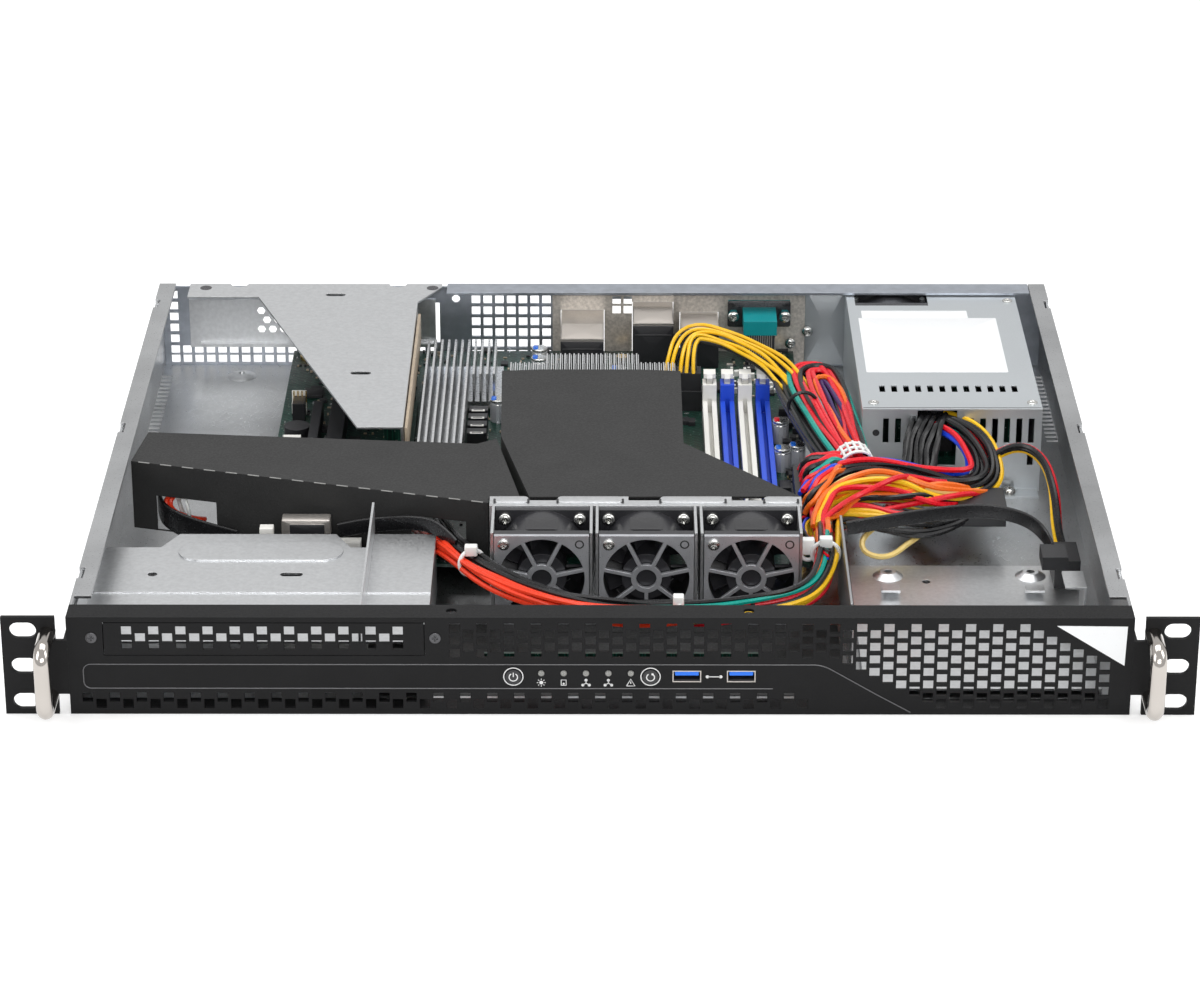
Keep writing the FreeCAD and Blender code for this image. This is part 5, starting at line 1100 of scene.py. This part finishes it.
class SERVER_OT_board_details(ServerOperator, bpy.types.Operator):
    """Chips, small parts, pins and can tops on the motherboard"""

    bl_idname = "server.board_details"
    bl_label = "Board details"

    def build(self):
        shell = Shell()
        for row in SCATTERED:
            scatter(shell, *row)
        for x, y, wide, deep in ((-112, 345, 12, 12), (-137, 312, 9, 9), (60, 320, 14, 10),
                                 (84, 205, 7, 9), (-60, 228, 9, 8), (-136, 235, 8, 6)):
            pad(shell, (x, y, 10.0), (wide, deep, 1.8), "chip", 2, 0.6, 0.25)
        for x, y in CAN_PLACES:
            shell.lathe([(0, 0), (0.0, 3.3), (-0.4, 3.75), (-1.0, 3.82), (-1.6, 3.5),
                         (-2.2, 3.8)], (x, y, 20.2), (0, 0, 1), "screw", 28)
            red = (x, y) == CAN_PLACES[0]
            pad(shell, (x - 1.9, y, 20.26), (2.4, 5.4, 0.12),
                "wire_red" if red else "can_blue", 2, 1.1, 0.05)
        for number in range(4):
            y = 246 + 8.8 * number
            pad(shell, (-57.5, y, 18.1), (6.2, 2.0, 0.3), "ivory", 2, 0.3, 0.1)
            pad(shell, (-57.5, y, 18.25), (4.4, 0.6, 0.3), "chip", 2, 0.2, 0.1)
        pad(shell, (-142.3, 290, 12), (7.0, 4.2, 6.0), "ivory", 2, 0.4, 0.3)
        pad(shell, (-142.3, 291.6, 16), (7.0, 1.0, 8.0), "ivory", 2, 0.3, 0.2)
        for first, pitch, count, y, z, size, finish_name in (
                (-145.0, 1.9, 4, 289.4, 12.0, (0.6, 0.6, 8.5), "gold"),
                (71.2, 1.06, 11, 347.2, 10.0, (0.45, 0.45, 16.0), "tin")):
            pins = MM * np.array([(first + pitch * k, y, z) for k in range(count)])
            shell.boxes(pins, pins + MM * np.array(size), finish_name)
        pad(shell, (-87.3, 267, 34.5), (1.4, 138, 13.5), "ceramic", 2, 0.3, 0.2)
        shell.make("board_details")
        shell = Shell()
        for left, right, front, back in ((-41.5, 34.6, 197.0, 287.6),
                                         (-25.9, 17.9, 287.6, 298.4)):
            first = np.arange(left, right, FIN_PITCH)
            low = np.stack([first, np.full_like(first, front),
                            np.full_like(first, FIN_FOOT)], -1)
            shell.boxes(MM * low, MM * (low + (FIN_SHEET, back - front, FIN_HEIGHT)), "fins")
        shell.make("cooler_fins")


class SERVER_OT_port_details(ServerOperator, bpy.types.Operator):
    """Black faces of the jacks, flange and screws of the serial port, and rim screws"""

    bl_idname = "server.port_details"
    bl_label = "Port details"

    def build(self):
        shell = Shell()
        for left, right, front, top in ((-19.7, 1.0, 331.0, 30.3), (15.0, 34.5, 341.0, 34.4),
                                        (38.2, 56.5, 347.0, 29.2)):
            middle, height = 0.5 * (left + right), top - 1.2 - BOARD_TOP
            pad(shell, (middle, front - 0.35, BOARD_TOP + height / 2),
                (right - left, 0.6, height), "moulding", 1, 0.3, 0.15)
            pad(shell, (middle, front - 0.7, BOARD_TOP + 0.8 * height),
                (right - left - 2, 0.3, 0.7), "chip", 1, 0.1, 0.05)
            pad(shell, (middle, front + 10, top + 0.06), (right - left - 1.2, 19, 0.1),
                "beige", 2, 0.5, 0.04)
        pad(shell, (76.5, 365.6, 29.6), (30.6, 1.2, 13.4), "screw_black", 1, 1.0, 0.3)
        pad(shell, (76.5, 349, 17.5), (14.0, 3.0, 16.0), "chip", 1, 0.5, 0.2)
        for x in (64.0, 89.0):
            screw(shell, (x, 361.8, 29.6), (0, -1, 0), "screw", 2.7, 1.4)
        screw(shell, (100.2, 366.8, 20), (0, -1, 0), "screw", 2.6, 1.8)
        screw(shell, (92.0, 366.5, 14), (0, -1, 0), "screw", 2.6, 1.8)
        pad(shell, (109, 368.2, 22), (20, 0.9, 40), "supply", 1, 0.5, 0.2)
        for x in (-192.0, -82.1):
            shell.lathe([(-0.3, 2.9), (0.1, 2.8), (0.16, 2.2), (0.05, 0.8), (0.05, 0)],
                        (x, 364.5, 43.3), (0, 0, 1), "screw_black", 28)
        shell.lathe([(0, 0), (1.6, 1.6), (1.4, 3.4), (0.2, 6.5), (-0.3, 7.5)],
                    (-175.3, 354.5, 1.3), (0, 0, 1), "zinc", 28)
        shell.make("port_details")


DASHES, DASH_START, DASH_PITCH, DASH_LENGTH = 16, 3.5, 10.2, 5.2


class SERVER_OT_duct_details(ServerOperator, bpy.types.Operator):
    """Perforated crease of the side duct and the leads seen through its window"""

    bl_idname = "server.duct_details"
    bl_label = "Duct details"

    def build(self):
        shell = Shell()
        start, end = np.array((-206.3, 161, 41.15)), np.array((-48.2, 117, 41.15))
        run = (end - start) / np.linalg.norm(end - start)
        for number in range(DASHES):
            first = start + run * (DASH_START + DASH_PITCH * number)
            closed_tube(shell, MM * np.stack([first, first + DASH_LENGTH * run]), FINE_LINE,
                        "dash", 6)
        power = 0.8 * sizes().power_wire
        strands(shell, ((-170, 176, 21), (-180, 170, 24), (-188, 164, 25), (-192, 160, 21),
                        (-186, 160, 13), (-176, 168, 8)),
                flat_lay("scarlet black scarlet scarlet", 2.2, 2), power, 0.3,
                0.5, 61)
        flat_cord(shell, ((-196, 172, 20), (-195, 163, 18), (-190, 155, 16),
                          (-178, 149, 13), (-160, 145, 10)), 0.8, 5.5, "wire_black")
        tie(shell, (-184, 161, 20), (6, 3, 1), 6.0)
        shell.make("duct_details")


# --- Panel and running -----------------------------------------------------------------

OPERATORS = (SERVER_OT_stage, SERVER_OT_sheet_finishes, SERVER_OT_looms,
             SERVER_OT_drive_cords, SERVER_OT_fan_hardware, SERVER_OT_supply_details,
             SERVER_OT_front_details, SERVER_OT_board_details, SERVER_OT_port_details,
             SERVER_OT_duct_details)


class SERVER_PT_pieces(bpy.types.Panel):
    """Lists the operators and settings in the sidebar"""

    bl_label = "Rack server"
    bl_idname = "SERVER_PT_pieces"
    bl_space_type = "VIEW_3D"
    bl_region_type = "UI"
    bl_category = "Server"

    def draw(self, context):
        for operator in OPERATORS:
            self.layout.operator(operator.bl_idname)
        for group in (context.scene.server_colours, context.scene.server_sizes):
            for name in group.bl_rna.properties.keys():
                if name not in ("rna_type", "name"):
                    self.layout.prop(group, name)


CLASSES = (ServerColours, ServerSizes, *OPERATORS, SERVER_PT_pieces)


def register():
    for item in CLASSES:
        bpy.utils.register_class(item)
    bpy.types.Scene.server_colours = bpy.props.PointerProperty(type=ServerColours)
    bpy.types.Scene.server_sizes = bpy.props.PointerProperty(type=ServerSizes)


def unregister():
    del bpy.types.Scene.server_sizes
    del bpy.types.Scene.server_colours
    for item in reversed(CLASSES):
        bpy.utils.unregister_class(item)


def main():
    """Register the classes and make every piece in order."""
    register()
    make_finishes()
    for operator in OPERATORS:
        group, name = operator.bl_idname.split(".")
        getattr(getattr(bpy.ops, group), name)()


if __name__ == "__main__":
    main()
